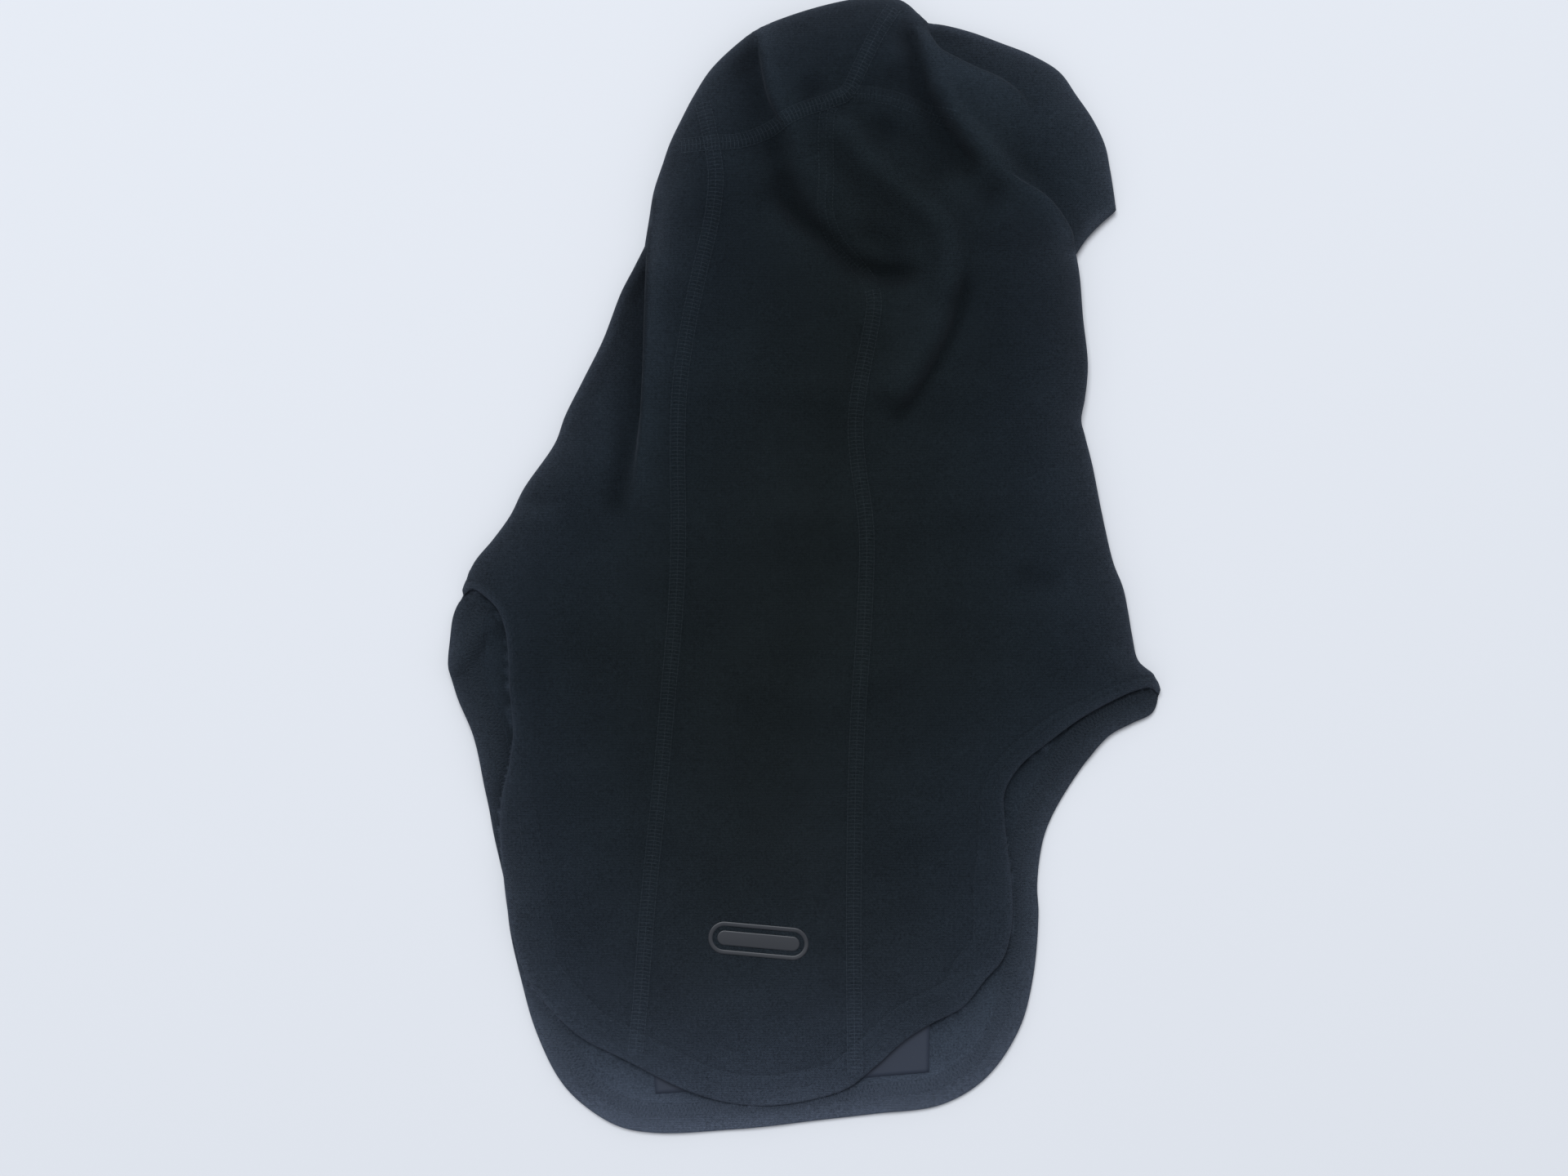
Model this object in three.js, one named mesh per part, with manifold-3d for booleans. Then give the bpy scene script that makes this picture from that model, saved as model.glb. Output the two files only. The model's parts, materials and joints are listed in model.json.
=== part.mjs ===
// A knitted balaclava lying flat on its front, with the back of the hood and the back bib uppermost.
// Units are millimetres. +Z is up, +Y points from the bibs to the crown, and +X to the wearer's right.
// The cloth is two layers: an upper one that follows backHeight() and a lower one that lies on z = 0.
// Each panel is cut flat from a layer, with a thin band between panels for each seam, and then draped.
import * as THREE from 'three';
import { mergeVertices } from 'three/addons/utils/BufferGeometryUtils.js';
import Module from 'manifold-3d';

const wasm = await Module();
wasm.setup();

// ---- driving dimensions -------------------------------------------------------------------------
const CLOTH = 1.6; // thickness of the knitted cloth
const HEM_CLOTH = 2.4; // thickness where the cloth is turned up in the hem
const SEAM_CLOTH = 2.0; // thickness of a flatlock seam
const GAP = 0.35; // clearance kept between neighbouring pieces
const SEAM_WIDTH = 6.4; // flatlock and coverstitch gauge
const HEM_WIDTH = 7; // hem edge to the first row of coverstitch
const BACK_MID = 9; // middle of the upper layer over the neck and bib
const HOOD_RISE = 7; // how much higher the upper layer lies over the crumpled hood
const RIM_MID = 3.0; // middle of the upper layer where it meets the lower one at a side
const BROW_RIM_MID = 2.0; // the same at the edge of the brow, where the two layers join
const RIM_REACH = 10; // how far from a fold the upper layer starts to turn down
const LOBE_MID = 5.4; // middle of the brow's upper layer, which lies under the crown
const LOBE_TUCK = 26; // how far the brow reaches in under the crown
const GRID = 16; // spacing of the draping grid
const CUTTER = 60; // height of the prisms that cut the layers

// The fold line of the back bib runs between the tops of the two shoulder arches.
const FOLD_LEFT = new THREE.Vector2(-138, -12);
const FOLD_RIGHT = new THREE.Vector2(150, -48);

// ---- outlines and seam lines --------------------------------------------------------------------
const points = (list) => list.map(([x, y]) => new THREE.Vector2(x, y));

// Free edge of the back bib, from the left arch round the chest to the right arch.
const BACK_BIB_EDGE = points([
  [-138, -11], [-131, -19], [-127, -36], [-126, -58], [-128, -78], [-132, -100], [-130, -125],
  [-126, -152], [-119, -176], [-105, -193], [-79, -209], [-50, -223], [-20, -229], [10, -226],
  [32, -213], [54, -196], [72, -183], [84, -164], [88.5, -140], [89, -115], [92, -94],
  [103, -77], [123, -62], [138, -54], [147, -51],
]);
// Free edge of the front bib, from the left arch to the right arch.
const FRONT_BIB_EDGE = points([
  [-145, -6], [-151, -22], [-151.5, -42], [-145, -64], [-137, -93], [-129, -135], [-121.5, -177],
  [-112, -206], [-97, -228], [-76, -240.5], [-50, -242], [-15, -239], [26, -234.5], [56, -231],
  [78, -218], [92, -197], [99, -165], [99.5, -135], [104, -110], [116, -88], [132, -71],
  [146, -64], [151.5, -56],
]);
// Folded sides of the neck and hood.
const RIGHT_SIDE = points([
  [148, -46], [141, -39], [137, -19], [131, 1], [126, 22], [121, 46], [117, 62], [119, 76],
  [119.5, 89], [117.5, 107], [116, 124], [114.5, 134],
]);
const CROWN_RIGHT = points([
  [112, 143], [106, 153], [94, 160.5], [84, 168], [74, 175], [67, 184], [62, 201], [56.5, 219],
  [51.5, 231], [45, 237], [38, 241.5],
]);
const LEFT_SIDE = points([
  [27, 242], [12, 239], [-7, 234], [-20, 228], [-30, 221], [-40, 211], [-47, 200], [-53, 189],
  [-58, 178], [-61, 167], [-65, 154], [-66.5, 142], [-70, 131], [-78, 117], [-87, 95], [-97, 75],
  [-104, 58], [-112, 43], [-121, 30], [-129, 17], [-141, 3],
]);
// The brow pokes out beyond the crown on the right.
const BROW_EDGE = points([
  [119, 139], [126, 146], [132, 153], [130.5, 165], [127, 181], [121, 193], [114, 203],
  [108, 212], [97, 218], [84, 223], [70, 228], [57, 231],
]);

const LEFT_SEAM = points([
  [-71.5, -204], [-67, -142], [-61.5, -86], [-56, -30], [-54, 20], [-54, 66], [-49, 103],
  [-42, 137], [-38, 160], [-40, 179],
]);
const RIGHT_SEAM = points([
  [21, -214], [20.5, -150], [22, -75], [25.5, -16], [26, 12], [21.5, 50], [24, 92], [26, 118],
  [18, 139], [9, 160], [7.5, 197],
]);
const CROWN_SEAM = points([
  [-64, 176], [-40, 179], [-20, 184], [-8, 191], [8, 197], [33, 198], [52, 194], [72, 189],
]);
const CROWN_LEFT_SEAM = points([[-40, 179], [-43, 192], [-50, 210]]);
const CROWN_RIGHT_SEAM = points([[17, 198], [24, 216], [32, 231], [41, 248]]);

// Front of the garment, on the lower layer.
const LEFT_FRONT_SEAM = points([[-50, -234], [-48, -120], [-34, -10], [12, 84]]);
const RIGHT_FRONT_SEAM = points([[46, -222], [54, -120], [74, -10], [82, 84]]);
const BROW_SEAM_LEFT = points([[-62, 181], [-30, 152], [10, 118]]);
const BROW_SEAM_RIGHT = points([[84, 128], [100, 130], [122, 133]]);
const FACE_CENTRE = new THREE.Vector2(48, 102);
const FACE_LONG = 52; // half the length of the face opening
const FACE_SHORT = 33; // half its width
const FACE_TURN = THREE.MathUtils.degToRad(28);
const BINDING_WIDTH = 9;

// Woven label inside the front bib, caught in the hem, and the printed mark on the back bib.
const LABEL_CORNERS = points([[-64, -226.5], [53, -217.5], [53.5, -176], [-68, -185]]);
const LABEL_THICK = 0.4;
const MARK_CENTRE = new THREE.Vector2(-20, -159);
const MARK_LENGTH = 42;
const MARK_WIDTH = 13;
const MARK_THICK = 0.4;

// Creases of the hood: a line, its height, and its half width on the line's left and right.
const CREASES = [
  // rim of the fold at the left of the neck
  { line: points([[-65, 141], [-68, 103], [-70, 60], [-80, 15]]), rise: 3, widths: [4, 16] },
  // hollow behind the crown's right rim
  { line: points([[48, 212], [57, 194], [65, 175], [86, 156]]), rise: -5, widths: [7, 7] },
  // ridge of the pouch in the middle of the hood
  { line: points([[17, 187], [45, 158], [63, 133], [58, 100], [41, 65]]), rise: 5, widths: [9, 9] },
  // hollow under the pouch
  { line: points([[-12, 152], [12, 136], [28, 123], [50, 127]]), rise: -6, widths: [7, 9] },
  // crease down the crown
  { line: points([[-20, 222], [-15, 190], [-5, 158]]), rise: -4, widths: [8, 6] },
];
const CREASE_ENDS = 14; // a crease fades out over this length past each end
const STRIP_LINE = points([[-66, 141], [-68, 103], [-70, 60], [-76, 33], [-84, 8]]);
const STRIP_DROP = 7; // how far the cloth drops beyond the fold at the left of the neck

// ---- curves -------------------------------------------------------------------------------------
// A smooth line through the points, as a list with about the given spacing.
function smooth(list, spacing, closed = false) {
  const flat = list.map((p) => new THREE.Vector3(p.x, p.y, 0));
  const curve = new THREE.CatmullRomCurve3(flat, closed, 'centripetal');
  const count = Math.ceil(curve.getLength() / spacing);
  const spaced = curve.getSpacedPoints(count).map((p) => new THREE.Vector2(p.x, p.y));
  return closed ? spaced.slice(0, -1) : spaced;
}

// The same line moved sideways: positive is to the left of its direction.
function sideways(line, distance) {
  return line.map((p, i) => {
    const before = line[Math.max(i - 1, 0)];
    const after = line[Math.min(i + 1, line.length - 1)];
    const along = after.clone().sub(before).normalize();
    return new THREE.Vector2(p.x - along.y * distance, p.y + along.x * distance);
  });
}

// A band between two offsets of a line, as one closed outline.
function band(line, from, to) {
  return [...sideways(line, from), ...sideways(line, to).reverse()];
}

// A line carried straight on past both ends.
function extended(line, length) {
  const first = line[0].clone().sub(line[1]).setLength(length).add(line[0]);
  const end = line[line.length - 1];
  const last = end.clone().sub(line[line.length - 2]).setLength(length).add(end);
  return [first, ...line, last];
}

// How far a point lies from a line, on which side (positive is left), and how far along.
function nearest(line, x, y) {
  let best = { distance: Infinity, side: 1, along: 0 };
  for (let i = 0; i + 1 < line.length; i++) {
    const a = line[i];
    const b = line[i + 1];
    const dx = b.x - a.x;
    const dy = b.y - a.y;
    const t = ((x - a.x) * dx + (y - a.y) * dy) / (dx * dx + dy * dy);
    const k = Math.min(Math.max(t, 0), 1);
    const ex = x - a.x - k * dx;
    const ey = y - a.y - k * dy;
    const distance = Math.hypot(ex, ey);
    if (distance < best.distance) {
      best = { distance, side: Math.sign(dx * ey - dy * ex) || 1, along: (i + k) / (line.length - 1) };
    }
  }
  return best;
}

// ---- heights ------------------------------------------------------------------------------------
const OUTLINE_SPACING = 9;
const backOutline = [
  ...smooth(BACK_BIB_EDGE, OUTLINE_SPACING),
  ...smooth([...RIGHT_SIDE, ...CROWN_RIGHT], OUTLINE_SPACING),
  ...smooth(LEFT_SIDE, OUTLINE_SPACING),
];
const frontOutline = [
  ...smooth(FRONT_BIB_EDGE, OUTLINE_SPACING),
  ...smooth([...RIGHT_SIDE, ...BROW_EDGE], OUTLINE_SPACING),
  ...smooth(LEFT_SIDE, OUTLINE_SPACING),
];
const leftFold = smooth(LEFT_SIDE, OUTLINE_SPACING);
const rightFold = smooth(RIGHT_SIDE, OUTLINE_SPACING);
const browFold = smooth(BROW_EDGE, OUTLINE_SPACING);
const stripLine = smooth(STRIP_LINE, OUTLINE_SPACING);
const creases = CREASES.map((c) => ({ ...c, line: smooth(c.line, OUTLINE_SPACING) }));

// 0 at a fold and 1 once the cloth has turned over it, as a quarter circle.
function turned(distance) {
  const t = Math.min(distance / RIM_REACH, 1);
  return Math.sqrt(1 - (1 - t) ** 2);
}

// Middle of the upper layer over a point.
function backHeight(x, y) {
  const hood = THREE.MathUtils.smoothstep(y, 30, 140);
  let height = BACK_MID + HOOD_RISE * hood;
  for (const { line, rise, widths } of creases) {
    const at = nearest(line, x, y);
    const width = widths[at.side > 0 ? 0 : 1];
    height += rise * Math.exp(-((at.distance / width) ** 2));
  }
  const strip = nearest(stripLine, x, y);
  if (strip.side < 0 && y < 145) {
    const fade = 1 - THREE.MathUtils.smoothstep(strip.along, 0.5, 1);
    height -= STRIP_DROP * hood * fade * Math.min(strip.distance / 4, 1);
  }
  const toFold = Math.min(nearest(leftFold, x, y).distance, nearest(rightFold, x, y).distance);
  return RIM_MID + (Math.max(height, BACK_MID) - RIM_MID) * turned(toFold);
}

// Middle of the crown, which stops short of the lower layer instead of joining it.
const crownHeight = (x, y) => Math.max(backHeight(x, y), SEAM_CLOTH * 1.5 + GAP);

// Middle of the brow's upper layer.
function browHeight(x, y) {
  return BROW_RIM_MID + (LOBE_MID - BROW_RIM_MID) * turned(nearest(browFold, x, y).distance);
}

// ---- solids -------------------------------------------------------------------------------------
function solidOf(geometry) {
  const bare = geometry.clone();
  bare.deleteAttribute('normal');
  bare.deleteAttribute('uv');
  const merged = mergeVertices(bare, 1e-4);
  return new wasm.Manifold(new wasm.Mesh({
    numProp: 3,
    vertProperties: new Float32Array(merged.attributes.position.array),
    triVerts: new Uint32Array(merged.index.array),
  }));
}

function geometryOf(solid) {
  const { vertProperties, triVerts } = solid.getMesh();
  const geometry = new THREE.BufferGeometry();
  geometry.setAttribute('position', new THREE.BufferAttribute(new Float32Array(vertProperties), 3));
  geometry.setIndex(new THREE.BufferAttribute(new Uint32Array(triVerts), 1));
  return geometry;
}

// An upright prism of the given outline, from -depth/2 to depth/2.
function prism(outline, depth = CUTTER) {
  const geometry = new THREE.ExtrudeGeometry(new THREE.Shape(outline), {
    depth, bevelEnabled: false, steps: 1,
  });
  return solidOf(geometry.translate(0, 0, -depth / 2));
}

// A flat slab divided into a grid, so that it can bend once it is draped.
function slab() {
  const across = 2 * Math.ceil(160 / GRID);
  const along = 2 * Math.ceil(250 / GRID);
  return solidOf(new THREE.BoxGeometry(across * GRID, along * GRID, 1, across, along, 1));
}

// Moves a flat piece, 1 mm thick about z = 0, up to its height and out to its thickness.
function drape(solid, height, thickness) {
  const geometry = geometryOf(solid);
  const at = geometry.attributes.position;
  for (let i = 0; i < at.count; i++) {
    const middle = height(at.getX(i), at.getY(i));
    at.setZ(i, middle + at.getZ(i) * thickness);
  }
  return solidOf(geometry);
}

const joined = (solids) => solids.reduce((a, b) => a.add(b));
const cutBy = (solid, cutters) => cutters.reduce((a, b) => a.subtract(b), solid);

// The body of a cut layer that holds a point.
function bodyAt(layer, x, y) {
  const probe = solidOf(new THREE.CylinderGeometry(2, 2, CUTTER, 8).rotateX(Math.PI / 2))
    .translate([x, y, 0]);
  const found = layer.decompose().find((body) => body.intersect(probe).volume() > 0);
  if (!found) throw new Error(`no panel at ${x}, ${y}`);
  return found;
}

// A seam band and the wider cut that it needs in the panels.
const SEAM_SPACING = 11;
function seam(line) {
  const path = smooth(line, SEAM_SPACING);
  const half = SEAM_WIDTH / 2;
  return {
    band: prism(band(path, -half, half), 1),
    cut: prism(band(extended(path, GAP), -half - GAP, half + GAP)),
  };
}

// ---- the two layers, cut into panels -------------------------------------------------------------
const leftSeam = seam(LEFT_SEAM);
const rightSeam = seam(RIGHT_SEAM);
const crownSeam = seam(CROWN_SEAM);
const crownLeftSeam = seam(CROWN_LEFT_SEAM);
const crownRightSeam = seam(CROWN_RIGHT_SEAM);
const leftFrontSeam = seam(LEFT_FRONT_SEAM);
const rightFrontSeam = seam(RIGHT_FRONT_SEAM);
const browSeamLeft = seam(BROW_SEAM_LEFT);
const browSeamRight = seam(BROW_SEAM_RIGHT);

const foldLine = [FOLD_LEFT, FOLD_RIGHT];
const foldCut = prism(band(extended(foldLine, 40), -GAP / 2, GAP / 2));
const bibSide = prism(band(extended(foldLine, 40), -300, -GAP / 2));
const hoodSide = prism(band(extended(foldLine, 40), GAP / 2, 400));

// The hem, its coverstitch and the cut that parts them from the panels, for one free edge.
function hemOf(edge) {
  const line = extended(smooth(edge, OUTLINE_SPACING), 4);
  const inner = HEM_WIDTH + SEAM_WIDTH;
  return {
    hem: prism(band(line, -20, HEM_WIDTH), 1),
    stitch: prism(band(line, HEM_WIDTH + GAP, inner), 1),
    cut: prism(band(line, -20, inner + GAP)),
  };
}
const backHem = hemOf(BACK_BIB_EDGE);
const frontHem = hemOf(FRONT_BIB_EDGE);

const backLayer = slab().intersect(prism(backOutline));
const frontLayer = slab().intersect(prism(frontOutline));
const backFlat = prism(backOutline, 1);
const frontFlat = prism(frontOutline, 1);

const backPanels = cutBy(backLayer, [
  leftSeam.cut, rightSeam.cut, crownSeam.cut, crownLeftSeam.cut, crownRightSeam.cut,
  backHem.cut, foldCut,
]);

function ellipse(grow) {
  const curve = new THREE.EllipseCurve(
    FACE_CENTRE.x, FACE_CENTRE.y, FACE_LONG + grow, FACE_SHORT + grow,
    0, 2 * Math.PI, false, FACE_TURN,
  );
  return curve.getPoints(36).slice(0, -1);
}
const faceHole = prism(ellipse(0));
const faceRing = prism(ellipse(BINDING_WIDTH), 1).subtract(faceHole);
const faceCut = prism(ellipse(BINDING_WIDTH + GAP));

const frontPanels = cutBy(frontLayer, [
  leftFrontSeam.cut, rightFrontSeam.cut, browSeamLeft.cut, browSeamRight.cut, faceCut,
  frontHem.cut,
]);

// Upper layer of the brow: a band inside the brow's folded edge.
const browFlat = slab()
  .intersect(prism(frontOutline))
  .intersect(prism([...browFold, ...smooth(CROWN_RIGHT, OUTLINE_SPACING).reverse()
    .map((p) => new THREE.Vector2(p.x - LOBE_TUCK, p.y - LOBE_TUCK / 3))]));

// ---- the garment --------------------------------------------------------------------------------
const garment = new THREE.Group();
const cloth = new THREE.MeshStandardMaterial({ color: 0x15181c, roughness: 0.95, metalness: 0 });
const hemCloth = new THREE.MeshStandardMaterial({ color: 0x1a1d22, roughness: 0.95, metalness: 0 });
const thread = new THREE.MeshStandardMaterial({ color: 0x20252a, roughness: 0.7, metalness: 0 });
const binding = new THREE.MeshStandardMaterial({ color: 0x14161a, roughness: 0.8, metalness: 0 });
const satin = new THREE.MeshStandardMaterial({ color: 0x3a3f48, roughness: 0.5, metalness: 0 });
const print = new THREE.MeshStandardMaterial({ color: 0x101114, roughness: 0.15, metalness: 0 });

function add(name, solid, material) {
  const mesh = new THREE.Mesh(geometryOf(solid), material);
  mesh.name = name;
  garment.add(mesh);
}

const flat = (mid) => () => mid;
const back = (x, y, height = backHeight) => drape(bodyAt(backPanels, x, y), height, CLOTH);
const front = (x, y) => drape(bodyAt(frontPanels, x, y), flat(CLOTH / 2), CLOTH);

function addHood() {
  add('left_side_panel', back(-95, 40), cloth);
  add('left_front_panel', front(-95, 40), cloth);
  add('right_side_panel', back(75, 20), cloth);
  add('right_front_panel', front(100, 20), cloth);
  add('back_neck_panel', back(-15, 60), cloth);
  add('crown_left_panel', back(-47, 185, crownHeight), cloth);
  add('crown_centre_panel', back(-5, 215, crownHeight), cloth);
  add('crown_right_panel', back(45, 215, crownHeight), cloth);
  add('front_centre_panel', front(5, -60), cloth);
  const brow = drape(browFlat, browHeight, CLOTH);
  add('brow_panel', joined([front(0, 200), brow]), cloth);
}

function addHoodSeams() {
  const trimmed = (solid) => solid.intersect(hoodSide).intersect(backFlat);
  const short = (solid) => cutBy(trimmed(solid), [crownSeam.cut]);
  const seams = {
    left_back_seam: short(leftSeam.band),
    right_back_seam: short(rightSeam.band),
    crown_seam: trimmed(crownSeam.band),
    crown_left_seam: short(crownLeftSeam.band),
    crown_right_seam: short(crownRightSeam.band),
  };
  for (const [name, solid] of Object.entries(seams)) {
    add(name, drape(solid, crownHeight, SEAM_CLOTH), thread);
  }
}

function addFront() {
  const trimmed = (solid) => cutBy(solid.intersect(frontFlat), [faceCut, frontHem.cut]);
  const seams = {
    left_front_seam: leftFrontSeam.band,
    right_front_seam: rightFrontSeam.band,
    brow_seam_left: browSeamLeft.band,
    brow_seam_right: browSeamRight.band,
  };
  for (const [name, solid] of Object.entries(seams)) {
    add(name, drape(trimmed(solid), flat(SEAM_CLOTH / 2), SEAM_CLOTH), thread);
  }
  add('face_binding', drape(faceRing, flat(HEM_CLOTH / 2), HEM_CLOTH), binding);
  const hem = frontHem.hem.intersect(frontFlat);
  add('front_hem', drape(hem, flat(HEM_CLOTH / 2), HEM_CLOTH), hemCloth);
  const stitch = frontHem.stitch.intersect(frontFlat);
  add('front_hem_stitching', drape(stitch, flat(CLOTH / 2), CLOTH), thread);
  const label = prism(LABEL_CORNERS, 1);
  const labelMid = SEAM_CLOTH + GAP + LABEL_THICK / 2;
  add('inner_label', drape(label, flat(labelMid), LABEL_THICK), satin);
}

function addBackBib() {
  add('back_bib_left_panel', back(-90, -100), cloth);
  add('back_bib_centre_panel', back(-20, -100), cloth);
  add('back_bib_right_panel', back(50, -100), cloth);
  const trimmed = (solid) => solid.intersect(bibSide).intersect(backFlat);
  const inside = (solid) => cutBy(trimmed(solid), [backHem.cut]);
  add('left_bib_seam', drape(inside(leftSeam.band), backHeight, SEAM_CLOTH), thread);
  add('right_bib_seam', drape(inside(rightSeam.band), backHeight, SEAM_CLOTH), thread);
  add('back_hem', drape(trimmed(backHem.hem), backHeight, HEM_CLOTH), hemCloth);
  add('back_hem_stitching', drape(trimmed(backHem.stitch), backHeight, CLOTH), thread);
  const radius = MARK_WIDTH / 2;
  const half = MARK_LENGTH / 2 - radius;
  const shape = new THREE.Path();
  shape.absarc(MARK_CENTRE.x + half, MARK_CENTRE.y, radius, -Math.PI / 2, Math.PI / 2);
  shape.absarc(MARK_CENTRE.x - half, MARK_CENTRE.y, radius, Math.PI / 2, Math.PI * 1.5);
  const mark = prism(shape.getPoints(6), 1);
  const markMid = BACK_MID + CLOTH / 2 + GAP + MARK_THICK / 2;
  add('back_mark', drape(mark, flat(markMid), MARK_THICK), print);
}

addHood();
addHoodSeams();
addFront();
addBackBib();

// The origin is the middle of the garment's footprint, on the surface that it lies on.
const box = new THREE.Box3().setFromObject(garment);
garment.position.set(-(box.min.x + box.max.x) / 2, -(box.min.y + box.max.y) / 2, 0);

export default garment;
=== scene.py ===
import json
import math

import bpy
import numpy as np
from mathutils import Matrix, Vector
from mathutils.bvhtree import BVHTree
from mathutils.geometry import delaunay_2d_cdt

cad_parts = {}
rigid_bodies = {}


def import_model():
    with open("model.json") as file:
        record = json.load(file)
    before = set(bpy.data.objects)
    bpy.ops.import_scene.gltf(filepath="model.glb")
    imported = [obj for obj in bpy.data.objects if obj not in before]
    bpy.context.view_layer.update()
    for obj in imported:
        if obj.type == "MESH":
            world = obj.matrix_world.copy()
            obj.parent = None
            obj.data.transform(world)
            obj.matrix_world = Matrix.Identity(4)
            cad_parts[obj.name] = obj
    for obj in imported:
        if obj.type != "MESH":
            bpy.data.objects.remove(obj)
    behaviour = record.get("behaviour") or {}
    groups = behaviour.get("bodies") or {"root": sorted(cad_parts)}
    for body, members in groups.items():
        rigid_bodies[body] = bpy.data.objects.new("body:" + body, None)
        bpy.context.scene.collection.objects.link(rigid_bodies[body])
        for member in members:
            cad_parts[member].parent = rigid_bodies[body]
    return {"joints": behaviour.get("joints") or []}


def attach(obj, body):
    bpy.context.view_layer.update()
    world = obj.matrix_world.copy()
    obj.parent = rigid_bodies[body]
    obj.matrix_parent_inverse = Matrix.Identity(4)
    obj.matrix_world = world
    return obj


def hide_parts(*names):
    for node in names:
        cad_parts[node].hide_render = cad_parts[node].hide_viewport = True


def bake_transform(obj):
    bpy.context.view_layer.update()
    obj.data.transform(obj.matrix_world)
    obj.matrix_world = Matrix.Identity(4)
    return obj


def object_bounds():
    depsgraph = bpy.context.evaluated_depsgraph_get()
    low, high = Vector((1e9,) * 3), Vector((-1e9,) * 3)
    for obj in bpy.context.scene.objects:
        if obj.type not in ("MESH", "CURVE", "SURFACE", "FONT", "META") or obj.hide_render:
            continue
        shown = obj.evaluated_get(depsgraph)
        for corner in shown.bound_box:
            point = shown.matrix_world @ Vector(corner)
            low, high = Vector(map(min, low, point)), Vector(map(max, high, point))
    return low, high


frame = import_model()
cad_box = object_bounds()

# A balaclava lying on its front. It is two layers of knitted cloth: the back layer, uppermost, and
# the front layer on the surface. Each layer is one smooth surface over the plan, triangulated once
# and cut along its seams into panels, so that neighbouring panels meet exactly.
# Plan points and heights are in millimetres from the middle of the garment's footprint.
MM = 0.001
CENTRE = (cad_box[0] + cad_box[1]) / 2

# ---- driving dimensions
CLOTH = 1.4  # thickness of the knitted cloth
SEAM_WIDTH = 6.4  # flatlock gauge
SEAM_RUN = 1.6  # from one stitch of a flatlock, or of a coverstitch's loops, to the next
HEM_RUN = 3.2  # the same for the rows of coverstitch outside
ROW_NEAR = 7.0  # hem edge to the nearer row of coverstitch
ROW_FAR = 13.0  # hem edge to the farther row
HEM_RAW = 14.4  # hem edge to the raw edge of the turned-up cloth inside
FRONT_MID = 1.1  # middle of the front layer's cloth above the surface
GRID = 2.3  # spacing of the cloth's vertices
EDGE_STEP = 1.8  # spacing of the vertices along edges and seams
EASE = 10.0  # how soon the cloth leaves the height of its folded edge

# ---- the brushed cloth's colour: black, with painted light and painted shade laid over it
CLOTH_DARK = np.array([0.0083, 0.0112, 0.0112])
RIM_NEAR = np.array([0.0100, 0.0081, 0.0054])  # painted light, added at a folded or cut edge, fading over 15 mm
RIM_FAR = np.array([0.0037, 0.0076, 0.0166])  # and over 45 mm
RIM_LINE = np.array([0.0120, 0.0140, 0.0190])  # painted highlight, added at a folded or cut edge and over 2 mm
PAINTED_HEM_LIGHT = np.array([0.0197, 0.0229, 0.0315])  # painted light, added at the hem, fading over 50 mm towards the hood
HEM_HEIGHT = -220  # where along y the hem's painted light is full
LIP_HIGHLIGHT = 1.2  # how far in from the back hem's edge its painted highlight reaches
HEM_SHADE = 0.28  # painted shade: how much darker the front layer is right beside the back hem, over 5 mm
ARCH_SHADE = 0.2  # and the painted shade where it shows at the arches
ARCHES = (-150, -60)  # where along y that starts and is full
HOOD_SHADE = 0.11  # painted shade: how much darker the creased hood is coloured than the flat bib
HOOD_SHADE_FROM = (40, 130)  # where along y that starts and is full
BROW_PALER = 0.22  # how much paler the brow is
RIDGE = 0.15  # painted highlight: how much paler a ridge is coloured for each millimetre that it stands out, and painted shade in a hollow for each that it sinks
RIDGE_RANGE = (-2.0, 1.8)  # the millimetres that count

# ---- outlines: points along each edge, with the radius of the fold where the edge is a fold
LEFT_TIP = (-146.5, -12.0)
RIGHT_TIP = (151.6, -54.6)
BACK_EDGE = [
    LEFT_TIP, (-142.0, -9.6), (-137.9, -11.9), (-131.3, -18.2), (-127.8, -28), (-126.7, -39.6),
    (-126.4, -52), (-124.8, -70), (-126.4, -84.4), (-129.4, -97), (-130.6, -110), (-129.6, -125),
    (-126, -152.6), (-120, -173.6), (-108.5, -189.7), (-94.9, -201.6), (-78.1, -210), (-51.5, -223.3),
    (-34, -228.8), (-16, -230.3), (1.1, -227.9), (17.5, -223), (29.8, -213.5), (42, -202.5),
    (54, -195), (67, -188.2), (76.7, -176.4), (84.4, -167.3), (88.2, -152.6), (88.4, -138.6),
    (86.6, -122), (85.1, -108), (85.2, -96), (92.1, -84.7), (102.2, -76.3), (116.6, -65.5),
    (130.9, -57.4), (140.4, -53.2), (147.4, -51.9), RIGHT_TIP,
]
FRONT_EDGE = [
    LEFT_TIP, (-150.2, -19.6), (-151.7, -30.1), (-151.6, -44.1), (-149.1, -54.6), (-141.8, -72.1),
    (-137.2, -93.1), (-133.4, -114.1), (-128.8, -135.1), (-126.3, -156.1), (-121.5, -177.1),
    (-115.5, -198.1), (-105.4, -219.1), (-95.9, -229.6), (-80.5, -239.2), (-65.1, -242.2),
    (-30.1, -240.8), (4.9, -237), (31, -234), (58.1, -230.3), (77, -219.1), (91.4, -198.1),
    (97.3, -177.1), (99.8, -149.1), (99.3, -135.1), (102.6, -114.1), (113.4, -93.1),
    (129.2, -72.8), (139.7, -66.9), (148.6, -62.4), RIGHT_TIP,
]
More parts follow.
